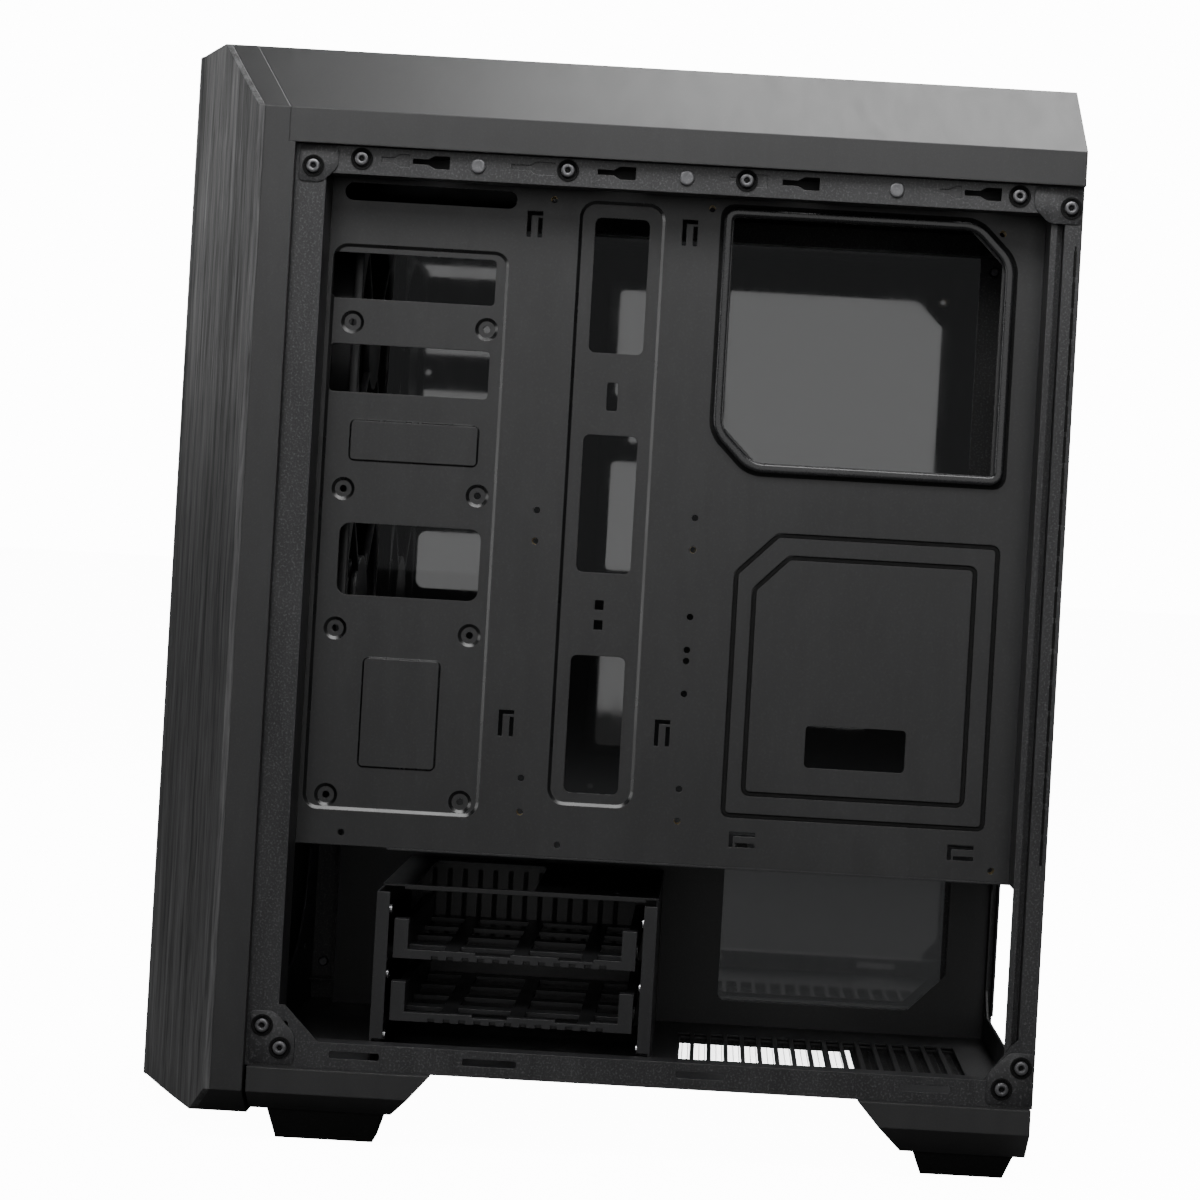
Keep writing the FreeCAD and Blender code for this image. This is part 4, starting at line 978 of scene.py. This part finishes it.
# ------------------------------------------------------------------ fans
@dataclass
class FrontFan:
    """One front fan: a ducted square frame with struts, and a rotor with swept blades."""

    rack: FinishRack
    level: str
    facets: int = 72
    bore: float = 0.0575
    duct_wall: float = 0.0022
    flange: float = 0.004
    corner: float = 0.007
    pitch: float = 0.0525
    hole: float = 0.0022
    motor_plate: float = 0.022
    plate_depth: float = 0.003
    strut: tuple[float, float] = (0.021, 0.059)
    strut_width: float = 0.0036
    blades: int = 9
    hub: float = 0.020
    tip: float = 0.0555
    root_chord: float = 0.015
    blade_depth: float = 0.0018
    root_sink: float = 0.0015
    steps: int = 7
    thinning: float = 0.95
    widening: float = 1.05
    sweep: float = 0.0004
    pitch_angle: float = math.radians(32)
    twist: float = math.radians(14)

    def frame(self, low: Vector, high: Vector) -> None:
        """Build the frame: two flanges on a closed duct, and four struts to the motor plate.

        Args:
            low: the frame's lowest corner.
            high: its highest corner.
        """
        middle = (low + high) / 2
        flanges = []
        for y in (low.y, high.y - self.flange):
            flange = Blank.block("flange", (low.x, y, low.z), (high.x, y + self.flange, high.z))
            flange.edges(lambda one, other: abs(one.y - other.y) > self.flange / 2)
            bpy.ops.mesh.bevel(offset=self.corner, segments=5)
            flange.close()
            flange.cut(Blank.rod("bore", Spindle.Y, (middle.x, y, middle.z), self.bore, CLEARANCE,
                                 self.facets))
            for a in (-1, 1):
                for b in (-1, 1):
                    place = (middle.x + a * self.pitch, y, middle.z + b * self.pitch)
                    flange.cut(Blank.rod("screw_hole", Spindle.Y, place, self.hole, CLEARANCE, 16))
            flanges.append(flange.soften(0.0005, 2))
        duct = Blank.rod("duct", Spindle.Y, middle, self.bore + self.duct_wall, high.y - low.y - 0.002,
                         self.facets)
        duct.cut(Blank.rod("bore", Spindle.Y, middle, self.bore, 2 * CLEARANCE, self.facets))
        plate_middle = (middle.x, high.y - self.plate_depth / 2, middle.z)
        plate = Blank.rod("motor_plate", Spindle.Y, plate_middle, self.motor_plate, self.plate_depth, 48)
        plate.faces(lambda centre, normal: Facing.REAR.matches(normal)).inset(0.004, -0.0006).close()
        struts = []
        inner, outer = self.strut
        for turn in (45, 135, 225, 315):
            strut = Blank.block("strut", (inner, -self.plate_depth, -self.strut_width / 2),
                                (outer, 0.0, self.strut_width / 2))
            strut.soften(0.0006, 2)
            seat = Matrix.Translation((middle.x, high.y, middle.z))
            struts.append(strut.copy("strut_arm", seat @ Matrix.Rotation(math.radians(turn), 4, "Y")))
            bpy.data.objects.remove(strut.shape)
        name = f"fan_frame_{self.level}_moulded"
        piece = flanges[0].join([flanges[1], duct, plate.soften(0.0005, 2), *struts])
        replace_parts(piece.release(name, self.rack, "fan_plastic", "case"), f"fan_frame_{self.level}")

    def blade(self) -> Blank:
        """Draw out one swept and twisted blade from the hub to the tip.

        Returns:
            The blade lying along X, its tip trimmed to the swept circle.
        """
        root, half, thick = self.hub - self.root_sink, self.root_chord / 2, self.blade_depth / 2
        flat = Blank.block("blade", (root, -thick, -half), (self.hub, thick, half))
        flat.faces(lambda middle, normal: Facing.RIGHT.matches(normal))
        for step in range(self.steps):
            flat.pull(((self.tip - root) / self.steps, 0.0, 0.0))
            bpy.ops.transform.resize(value=(1.0, self.thinning, self.widening))
            bpy.ops.transform.rotate(value=self.twist / self.steps, orient_axis="X",
                                     center_override=(0.0, 0.0, 0.0))
            drift = self.sweep * step
            bpy.ops.transform.translate(value=(0.0, drift * math.sin(self.pitch_angle),
                                               drift * math.cos(self.pitch_angle)))
        flat.close()
        pitched = flat.copy("blade_arm", Matrix.Rotation(self.pitch_angle, 4, "X"))
        bpy.data.objects.remove(flat.shape)
        pitched.modify("SUBSURF", levels=1, render_levels=1)
        trim = Blank.rod("trim", Spindle.Y, (0.0, 0.0, 0.0), self.tip + 0.02, 0.05, self.facets)
        trim.cut(Blank.rod("swept", Spindle.Y, (0.0, 0.0, 0.0), self.tip, 0.06, self.facets))
        return pitched.cut(trim)

    def rotor(self, low: Vector, high: Vector) -> None:
        """Build the rotor: a dished hub and its blades, inside the CAD rotor's box.

        Args:
            low: the rotor's lowest corner.
            high: its highest corner.
        """
        middle = (low + high) / 2
        hub = Blank.rod("hub", Spindle.Y, middle, self.hub, high.y - low.y, 56)
        hub.faces(lambda centre, normal: Facing.FRONT.matches(normal)).inset(0.0025, -0.0006)
        hub.inset(0.009, -0.0004).close()
        hub.soften(0.0008, 3)
        first = self.blade()
        arms = []
        for i in range(self.blades):
            turn = Matrix.Rotation(2 * math.pi * i / self.blades, 4, "Y")
            arms.append(first.copy("arm", Matrix.Translation(middle) @ turn))
        bpy.data.objects.remove(first.shape)
        name = f"fan_rotor_{self.level}_moulded"
        piece = hub.join(arms).right_normals()
        piece = piece.release(name, self.rack, "fan_plastic", f"{self.level}_rotor", 50.0)
        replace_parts(piece, f"fan_rotor_{self.level}")

    def build(self) -> None:
        """Build the fan in the places of its two CAD nodes."""
        self.frame(*(Vector(corner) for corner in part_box(f"fan_frame_{self.level}")))
        self.rotor(*(Vector(corner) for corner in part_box(f"fan_rotor_{self.level}")))


# ------------------------------------------------------------------ dust filters
@dataclass
class DustFilter:
    """A moulded frame round an open woven screen, with ribs across it."""

    rack: FinishRack
    node: str
    body: str
    rim: float
    rear_rim: float
    pitch: float
    wire: float
    ribs: int
    tab: float = 0.0
    tab_inset: float = 0.033
    rib_width: float = 0.0018

    def strand(self, name: str, low: Vector, high: Vector, along: int) -> Blank:
        """Lay one six-sided strand and repeat it over the window.

        Args:
            name: the strand's name.
            low: the window's lowest corner.
            high: its highest corner.
            along: 0 for strands along X, 1 for strands along Y.

        Returns:
            All the strands of one direction.
        """
        across = 1 - along
        centre, spread = (low + high) / 2, high - low
        centre[across] = low[across] + self.pitch / 2
        spindle = Spindle.X if along == 0 else Spindle.Y
        strand = Blank.rod(name, spindle, centre, self.wire / 2, spread[along], 6)
        offset = [0.0, 0.0, 0.0]
        offset[across] = self.pitch
        return strand.modify("ARRAY", count=int(spread[across] / self.pitch), use_relative_offset=False,
                             use_constant_offset=True, constant_offset_displace=offset)

    def build(self) -> None:
        """Build the frame, its ribs, the screen, and a pull tab where it has one."""
        low, high = (Vector(corner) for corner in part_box(self.node))
        high_y = high.y - self.tab
        inner_low = Vector((low.x + self.rim, low.y + self.rim, low.z - 0.01))
        inner_high = Vector((high.x - self.rim, high_y - self.rear_rim, high.z + 0.01))
        frame = Blank.block("frame", low, (high.x, high_y, high.z))
        frame.cut(Blank.block("window", inner_low, inner_high)).soften(0.0006, 2)
        middle = (low.z + high.z) / 2
        parts = []
        for i in range(self.ribs):
            y = inner_low.y + (inner_high.y - inner_low.y) * (i + 1) / (self.ribs + 1)
            rib = Blank.block("rib", (inner_low.x - 0.001, y - self.rib_width / 2, middle - 0.0004),
                              (inner_high.x + 0.001, y + self.rib_width / 2, middle + 0.0006))
            parts.append(rib.soften(0.0002, 1))
        if self.tab:
            tab = Blank.block("tab", (low.x + self.tab_inset, high_y - 0.006, low.z),
                              (high.x - self.tab_inset, high.y, high.z))
            tab.faces(lambda centre, normal: Facing.DOWN.matches(normal)).inset(0.002, -0.0008).close()
            parts.append(tab.soften(0.0005, 2))
        slot = self.rack.slot_of(self.node)
        piece = frame.join(parts).release(f"{self.node}_frame", self.rack, slot, self.body)
        low_w, high_w = inner_low.copy(), inner_high.copy()
        low_w.z = high_w.z = middle
        weft = self.strand("weft", low_w, high_w, 0)
        warp = self.strand("warp", low_w, high_w, 1)
        screen = weft.join([warp]).release(f"{self.node}_screen", self.rack, "filter_screen", self.body)
        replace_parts(piece, self.node)
        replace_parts(screen, self.node)


# ------------------------------------------------------------------ feet, rim and thumbscrews
@dataclass
class RubberFeet:
    """Four tapered rubber feet with a rounded sole and grip channels."""

    rack: FinishRack
    side: tuple[float, float] = (0.060, 0.086)
    runs: tuple[tuple[float, float, float], ...] = ((-0.1368, -0.0840, 0.0140), (0.1580, 0.2040, 0.0110))
    taper: float = 0.0042
    side_taper: float = 0.0030
    channel: float = 0.0018
    channel_pitch: float = 0.009
    border: float = 0.006

    def foot(self, low: Vector, high: Vector) -> Blank:
        """Shape one foot.

        Args:
            low: its lowest corner.
            high: its highest corner.

        Returns:
            The foot.
        """
        foot = Blank.block("foot", low, high)
        foot.faces(lambda centre, normal: Facing.DOWN.matches(normal))
        size = high - low
        bpy.ops.transform.resize(value=(1 - 2 * self.side_taper / size.x, 1 - 2 * self.taper / size.y, 1.0))
        foot.close()
        count = int(size.y / self.channel_pitch)
        for i in range(count):
            y = low.y + size.y * (i + 0.5) / count
            channel = Blank.block("channel", (low.x + self.border, y - self.channel / 2, low.z - 0.001),
                                  (high.x - self.border, y + self.channel / 2, low.z + 0.0008))
            foot.cut(channel)
        return foot.soften(0.0011, 3, 25.0)

    def build(self) -> None:
        """Build the four feet as one piece."""
        feet = []
        for sign in (-1, 1):
            x0, x1 = sorted((sign * self.side[0], sign * self.side[1]))
            feet += [self.foot(Vector((x0, y0, 0.0)), Vector((x1, y1, top))) for y0, y1, top in self.runs]
        piece = feet[0].join(feet[1:]).release("rubber_feet", self.rack, "rubber_black", "case", 40.0)
        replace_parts(piece, "foot_pads")


@dataclass
class Band:
    """A thin closed band along a rectangle's outline, with some corners clipped and the rest rounded."""

    low: tuple[float, float]
    high: tuple[float, float]
    clips: tuple[tuple[bool, bool], ...]
    clip: float
    radius: float
    width: float

    def raise_from(self, x: float, height: float) -> Blank:
        """Draw the band on a plane square to X and thicken it towards the open side.

        Args:
            x: where its back lies.
            height: how thick it is.

        Returns:
            The band.
        """
        centre = Vector((x, (self.low[0] + self.high[0]) / 2, (self.low[1] + self.high[1]) / 2))
        size = (self.high[1] - self.low[1], self.high[0] - self.low[0])
        band = Blank.sheet("band", Spindle.X, centre, size)
        for front, lower in self.clips:
            y = self.low[0] if front else self.high[0]
            z = self.low[1] if lower else self.high[1]
            corner = Vector((x, y, z))
            band.clip(lambda place: (place - corner).length < CORNER_SLACK, self.clip)
        band.clip(lambda place: True, self.radius, 4)
        band.faces(lambda middle, normal: True).inset(self.width)
        bpy.ops.mesh.delete(type="FACE")
        return band.close().thicken(x, height)


@dataclass
class CoolerRim:
    """Rolled edge round the large cooler opening, with a thin near-black band round it as painted shade of
    the gap.
    """

    rack: FinishRack
    clips: tuple[tuple[bool, bool], ...] = ((True, True), (False, False))
    clip: float = 0.0175
    width: float = 0.0046
    round_share: float = 1.3
    shade_band: float = 0.0015

    def build(self) -> None:
        """Build the bead in its CAD node's place, and the band of painted shade round it."""
        low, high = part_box("cpu_cutout_trim")
        bead = Band((low[1], low[2]), (high[1], high[2]), self.clips, self.clip,
                    self.width * self.round_share, self.width)
        rim = bead.raise_from(low[0], high[0] - low[0]).soften(0.0015, 5)
        # Painted shade: a thin near-black band laid round the rim.
        out = self.shade_band
        ring = Band((low[1] - out, low[2] - out), (high[1] + out, high[2] + out), self.clips,
                    self.clip + out * 0.6, self.width * self.round_share, out * 1.3)
        shade_band = ring.raise_from(low[0], 0.0002).release("cooler_rim_painted_shade", self.rack, "rubber_black", "case")
        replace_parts(rim.release("cooler_rim", self.rack, "edge_trim", "case", 50.0), "cpu_cutout_trim")
        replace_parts(shade_band, "cpu_cutout_trim")


@dataclass
class TrayGrooveShade:
    """Painted shade: thin near-black bands on the floors of the two narrow grooves pressed round the tray's
    lower field.
    """

    rack: FinishRack
    floor_x: float = 0.0752
    width: float = 0.0022
    radius: float = 0.0040
    lines: tuple[tuple[float, float, float, float, float], ...] = (
        (0.0620, 0.1835, 0.1567, 0.2884, 0.0190), (0.0707, 0.1736, 0.1670, 0.2784, 0.0160))

    def build(self) -> None:
        """Lay one band of painted shade in each groove."""
        bands = []
        for low_y, high_y, low_z, high_z, clip in self.lines:
            line = Band((low_y, low_z), (high_y, high_z), ((True, False),), clip, self.radius,
                        self.width)
            bands.append(line.raise_from(self.floor_x, 0.0003))
        bands[0].join(bands[1:]).release("tray_groove_painted_shade", self.rack, "rubber_black", "case")


@dataclass
class RearPostShade:
    """Painted shade: a thin near-black strip down the rear post, for the shaded slot between its flange and
    the folded rear sheet.
    """

    rack: FinishRack
    face_x: float = 0.098
    middle_y: float = 0.2074
    width: float = 0.0013
    low_z: float = 0.1450
    link: float = 0.0140
    thick: float = 0.00015
    neck: float = 0.55
    count: int = 20

    def build(self) -> None:
        """Shape one link with a narrow neck and repeat it up the post."""
        low = Vector((self.face_x, self.middle_y - self.width / 2, self.low_z))
        link = Blank.block("link", low, (self.face_x + self.thick, low.y + self.width,
                                         self.low_z + self.link * 0.82))
        link.faces(lambda centre, normal: Facing.UP.matches(normal)).pull((0.0, 0.0, self.link * 0.02))
        bpy.ops.transform.resize(value=(1.0, self.neck, 1.0))
        link.pull((0.0, 0.0, self.link * 0.15)).close()
        link.modify("ARRAY", count=self.count, use_relative_offset=False, use_constant_offset=True,
                    constant_offset_displace=(0.0, 0.0, self.link))
        link.release("rear_post_painted_shade", self.rack, "rubber_black", "case")


@dataclass
class ThumbScrews:
    """Knurled thumbscrews of the glass panel, with a cross recess."""

    rack: FinishRack
    holes: tuple[tuple[float, float], ...] = ((-0.1384, 0.432), (0.1894, 0.432), (-0.1384, 0.055),
                                              (0.1894, 0.055))
    head: float = 0.0068
    shank: float = 0.0022
    gap: float = 0.0002
    facets: int = 60
    knurl: float = 0.0004
    cross: tuple[float, float] = (0.0045, 0.0008)

    def build(self) -> None:
        """Knurl one head, add its shank, and repeat it in the panel's holes."""
        low, high = (Vector(corner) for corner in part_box("glass_thumbscrews"))
        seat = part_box("glass_panel")[0][0]
        depth = seat - self.gap - low.x
        head = Blank.rod("knob", Spindle.X, (low.x + depth / 2, 0.0, 0.0), self.head, depth, self.facets)
        head.faces(lambda middle, normal: Facing.LEFT.matches(normal)).inset(0.0012, 0.0)
        head.inset(0.0002, -0.0003).close()
        step = 2 * math.pi / self.facets
        head.faces(lambda middle, normal: abs(normal.x) < 0.1 and middle.yz.length > self.head * 0.98
                   and math.floor(math.atan2(middle.y, middle.z) / step + 0.01) % 2 == 0)
        bpy.ops.mesh.inset(thickness=0.00012, depth=-self.knurl, use_individual=True)
        head.close()
        for wide, tall in (self.cross, self.cross[::-1]):
            head.cut(Blank.block("cross", (low.x - 0.001, -wide / 2, -tall / 2),
                                 (low.x + depth * 0.6, wide / 2, tall / 2)))
        shank = Blank.rod("shank", Spindle.X, ((seat + high.x - self.gap) / 2, 0.0, 0.0), self.shank,
                          high.x - seat + self.gap, 20)
        shank.faces(lambda middle, normal: Facing.RIGHT.matches(normal)).inset(0.0006, 0.0).close()
        knob = head.join([shank.soften(0.0003, 1)]).repeat([(0.0, y, z) for y, z in self.holes])
        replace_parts(knob.release("knurled_thumbscrews", self.rack, "black_screw", "glass", 30.0),
                    "glass_thumbscrews")


# ------------------------------------------------------------------ studio
@dataclass(frozen=True)
class Softbox:
    """One soft light: its place, width and height in metres, power in watts, and the point it faces."""

    name: str
    place: tuple[float, float, float]
    size: tuple[float, float]
    power: float
    target: tuple[float, float, float]

    def hang(self) -> None:
        """Hang the light and turn it to its target."""
        lamp = bpy.data.lights.new(self.name, "AREA")
        lamp.shape = "RECTANGLE"
        lamp.size, lamp.size_y = self.size
        lamp.energy = self.power
        holder = bpy.data.objects.new(self.name, lamp)
        bpy.context.scene.collection.objects.link(holder)
        holder.location = self.place
        aim = Vector(self.target) - Vector(self.place)
        holder.rotation_euler = aim.to_track_quat("-Z", "Y").to_euler()


SOFTBOXES = (
    Softbox("wall_card", (3.0, 0.1, 0.85), (2.6, 1.7), 16.5, (0.0, 0.0, 0.3)),
    Softbox("key_softbox", (0.85, -0.10, 1.20), (1.0, 0.6), 11.0, (0.05, 0.02, 0.50)),
    Softbox("band_softbox", (0.45, 0.05, 0.84), (0.8, 0.2), 2.6, (0.09, 0.03, 0.44)),
    Softbox("roof_softbox", (-0.75, 0.64, 1.75), (1.7, 1.3), 33.0, (0.0, 0.12, 0.45)),
    Softbox("corner_softbox", (0.75, -1.35, 0.36), (0.35, 0.62), 3.2, (0.05, 0.0, 0.32)),
    Softbox("glass_side_softbox", (-1.7, -0.9, 1.0), (1.2, 1.2), 9.0, (0.0, 0.0, 0.28)),
    Softbox("rear_softbox", (-0.4, 2.1, 0.9), (1.2, 1.0), 9.0, (0.0, 0.2, 0.28)),
)


@dataclass
class Studio:
    """Pale sweep, soft lights and the camera."""

    floor_side: float = 60.0
    near_face: float = 0.098
    distance: float = 1.270
    aim_y: float = 0.053
    aim_z: float = 0.273
    roll: float = math.radians(3.27)
    lens: float = 84.45
    shift: tuple[float, float] = (-0.0958, -0.0308)
    surround_level: float = 0.07
    backdrop_level: float = 14.0
    floor_level: float = 13.0

    def sweep(self) -> None:
        """Lay a floor far larger than the case, white to the camera and dim to every other ray."""
        bpy.ops.object.select_all(action="DESELECT")
        bpy.ops.mesh.primitive_plane_add(size=self.floor_side, location=(0.0, 0.0, CAD_BOX[0][2]))
        floor = bpy.context.object
        floor.name = "studio_floor"
        material, bench, shader = start_material("pale_paper")
        cloud = bench.group(cloud_group(), {"Scale": 1.5, "Amount": 0.3}).outputs["Mask"]
        ray = bench.add("LightPath").outputs["Is Camera Ray"]
        pale = bench.mix(cloud, (0.88, 0.88, 0.88, 1.0), (0.92, 0.92, 0.92, 1.0))
        link = bench.tree.links.new
        link(bench.mix(ray, (0.08, 0.08, 0.08, 1.0), pale), shader.inputs["Base Color"])
        shader.inputs["Roughness"].default_value = 0.9
        shader.inputs["Emission Color"].default_value = WHITE
        link(bench.math("MULTIPLY", ray, self.floor_level), shader.inputs["Emission Strength"])
        floor.data.materials.append(material)
        floor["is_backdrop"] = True

    def surround(self) -> None:
        """Set a low even surround light, and a backdrop that is white only to the camera."""
        world = bpy.data.worlds.new("studio_surround")
        world.use_nodes = True
        bench = Bench(world.node_tree)
        ray = bench.add("LightPath").outputs["Is Camera Ray"]
        strength = bench.remap(ray, 0.0, 1.0, self.surround_level, self.backdrop_level)
        backdrop = bench.add("Background", {"Color": WHITE, "Strength": strength})
        out = bench.add("OutputWorld")
        bench.tree.links.new(backdrop.outputs[0], out.inputs["Surface"])
        bpy.context.scene.world = world

    def camera(self) -> None:
        """Stand the camera square to the open side, turned a little about its own axis."""
        lens = bpy.data.cameras.new("main_camera")
        lens.lens = self.lens
        lens.sensor_width = 36.0
        lens.shift_x, lens.shift_y = self.shift
        lens.dof.use_dof = False
        holder = bpy.data.objects.new("main_camera", lens)
        bpy.context.scene.collection.objects.link(holder)
        square_on = Matrix(((0.0, 0.0, 1.0), (1.0, 0.0, 0.0), (0.0, 1.0, 0.0)))
        turn = Matrix.Rotation(self.roll, 3, "Z")
        holder.matrix_world = (Matrix.Translation((self.near_face + self.distance, self.aim_y, self.aim_z))
                               @ (square_on @ turn).to_4x4())
        bpy.context.scene.camera = holder

    def build(self) -> None:
        """Set up the whole studio."""
        self.sweep()
        self.surround()
        for softbox in SOFTBOXES:
            softbox.hang()
        self.camera()
        LOG.info("studio ready")


def main() -> None:
    """Dress the frame, build the pieces and set up the studio."""
    logging.basicConfig(level=logging.INFO, format="%(name)s: %(message)s")
    rack = FinishRack()
    rack.dress_frame(frame["record"]["subparts"])
    Studio().build()
    makers = (RailFasteners(rack), FrontFan(rack, "upper"), FrontFan(rack, "lower"),
              DustFilter(rack, "top_filter", "roof_filter", rim=0.005, rear_rim=0.005, pitch=0.0020,
                         wire=0.0004, ribs=3),
              DustFilter(rack, "psu_filter", "floor_filter", rim=0.005, rear_rim=0.011, pitch=0.0028,
                         wire=0.00034, ribs=1, tab=0.005),
              RubberFeet(rack), CoolerRim(rack), TrayGrooveShade(rack), RearPostShade(rack), ThumbScrews(rack))
    for maker in makers:
        maker.build()


if __name__ == "__main__":
    main()
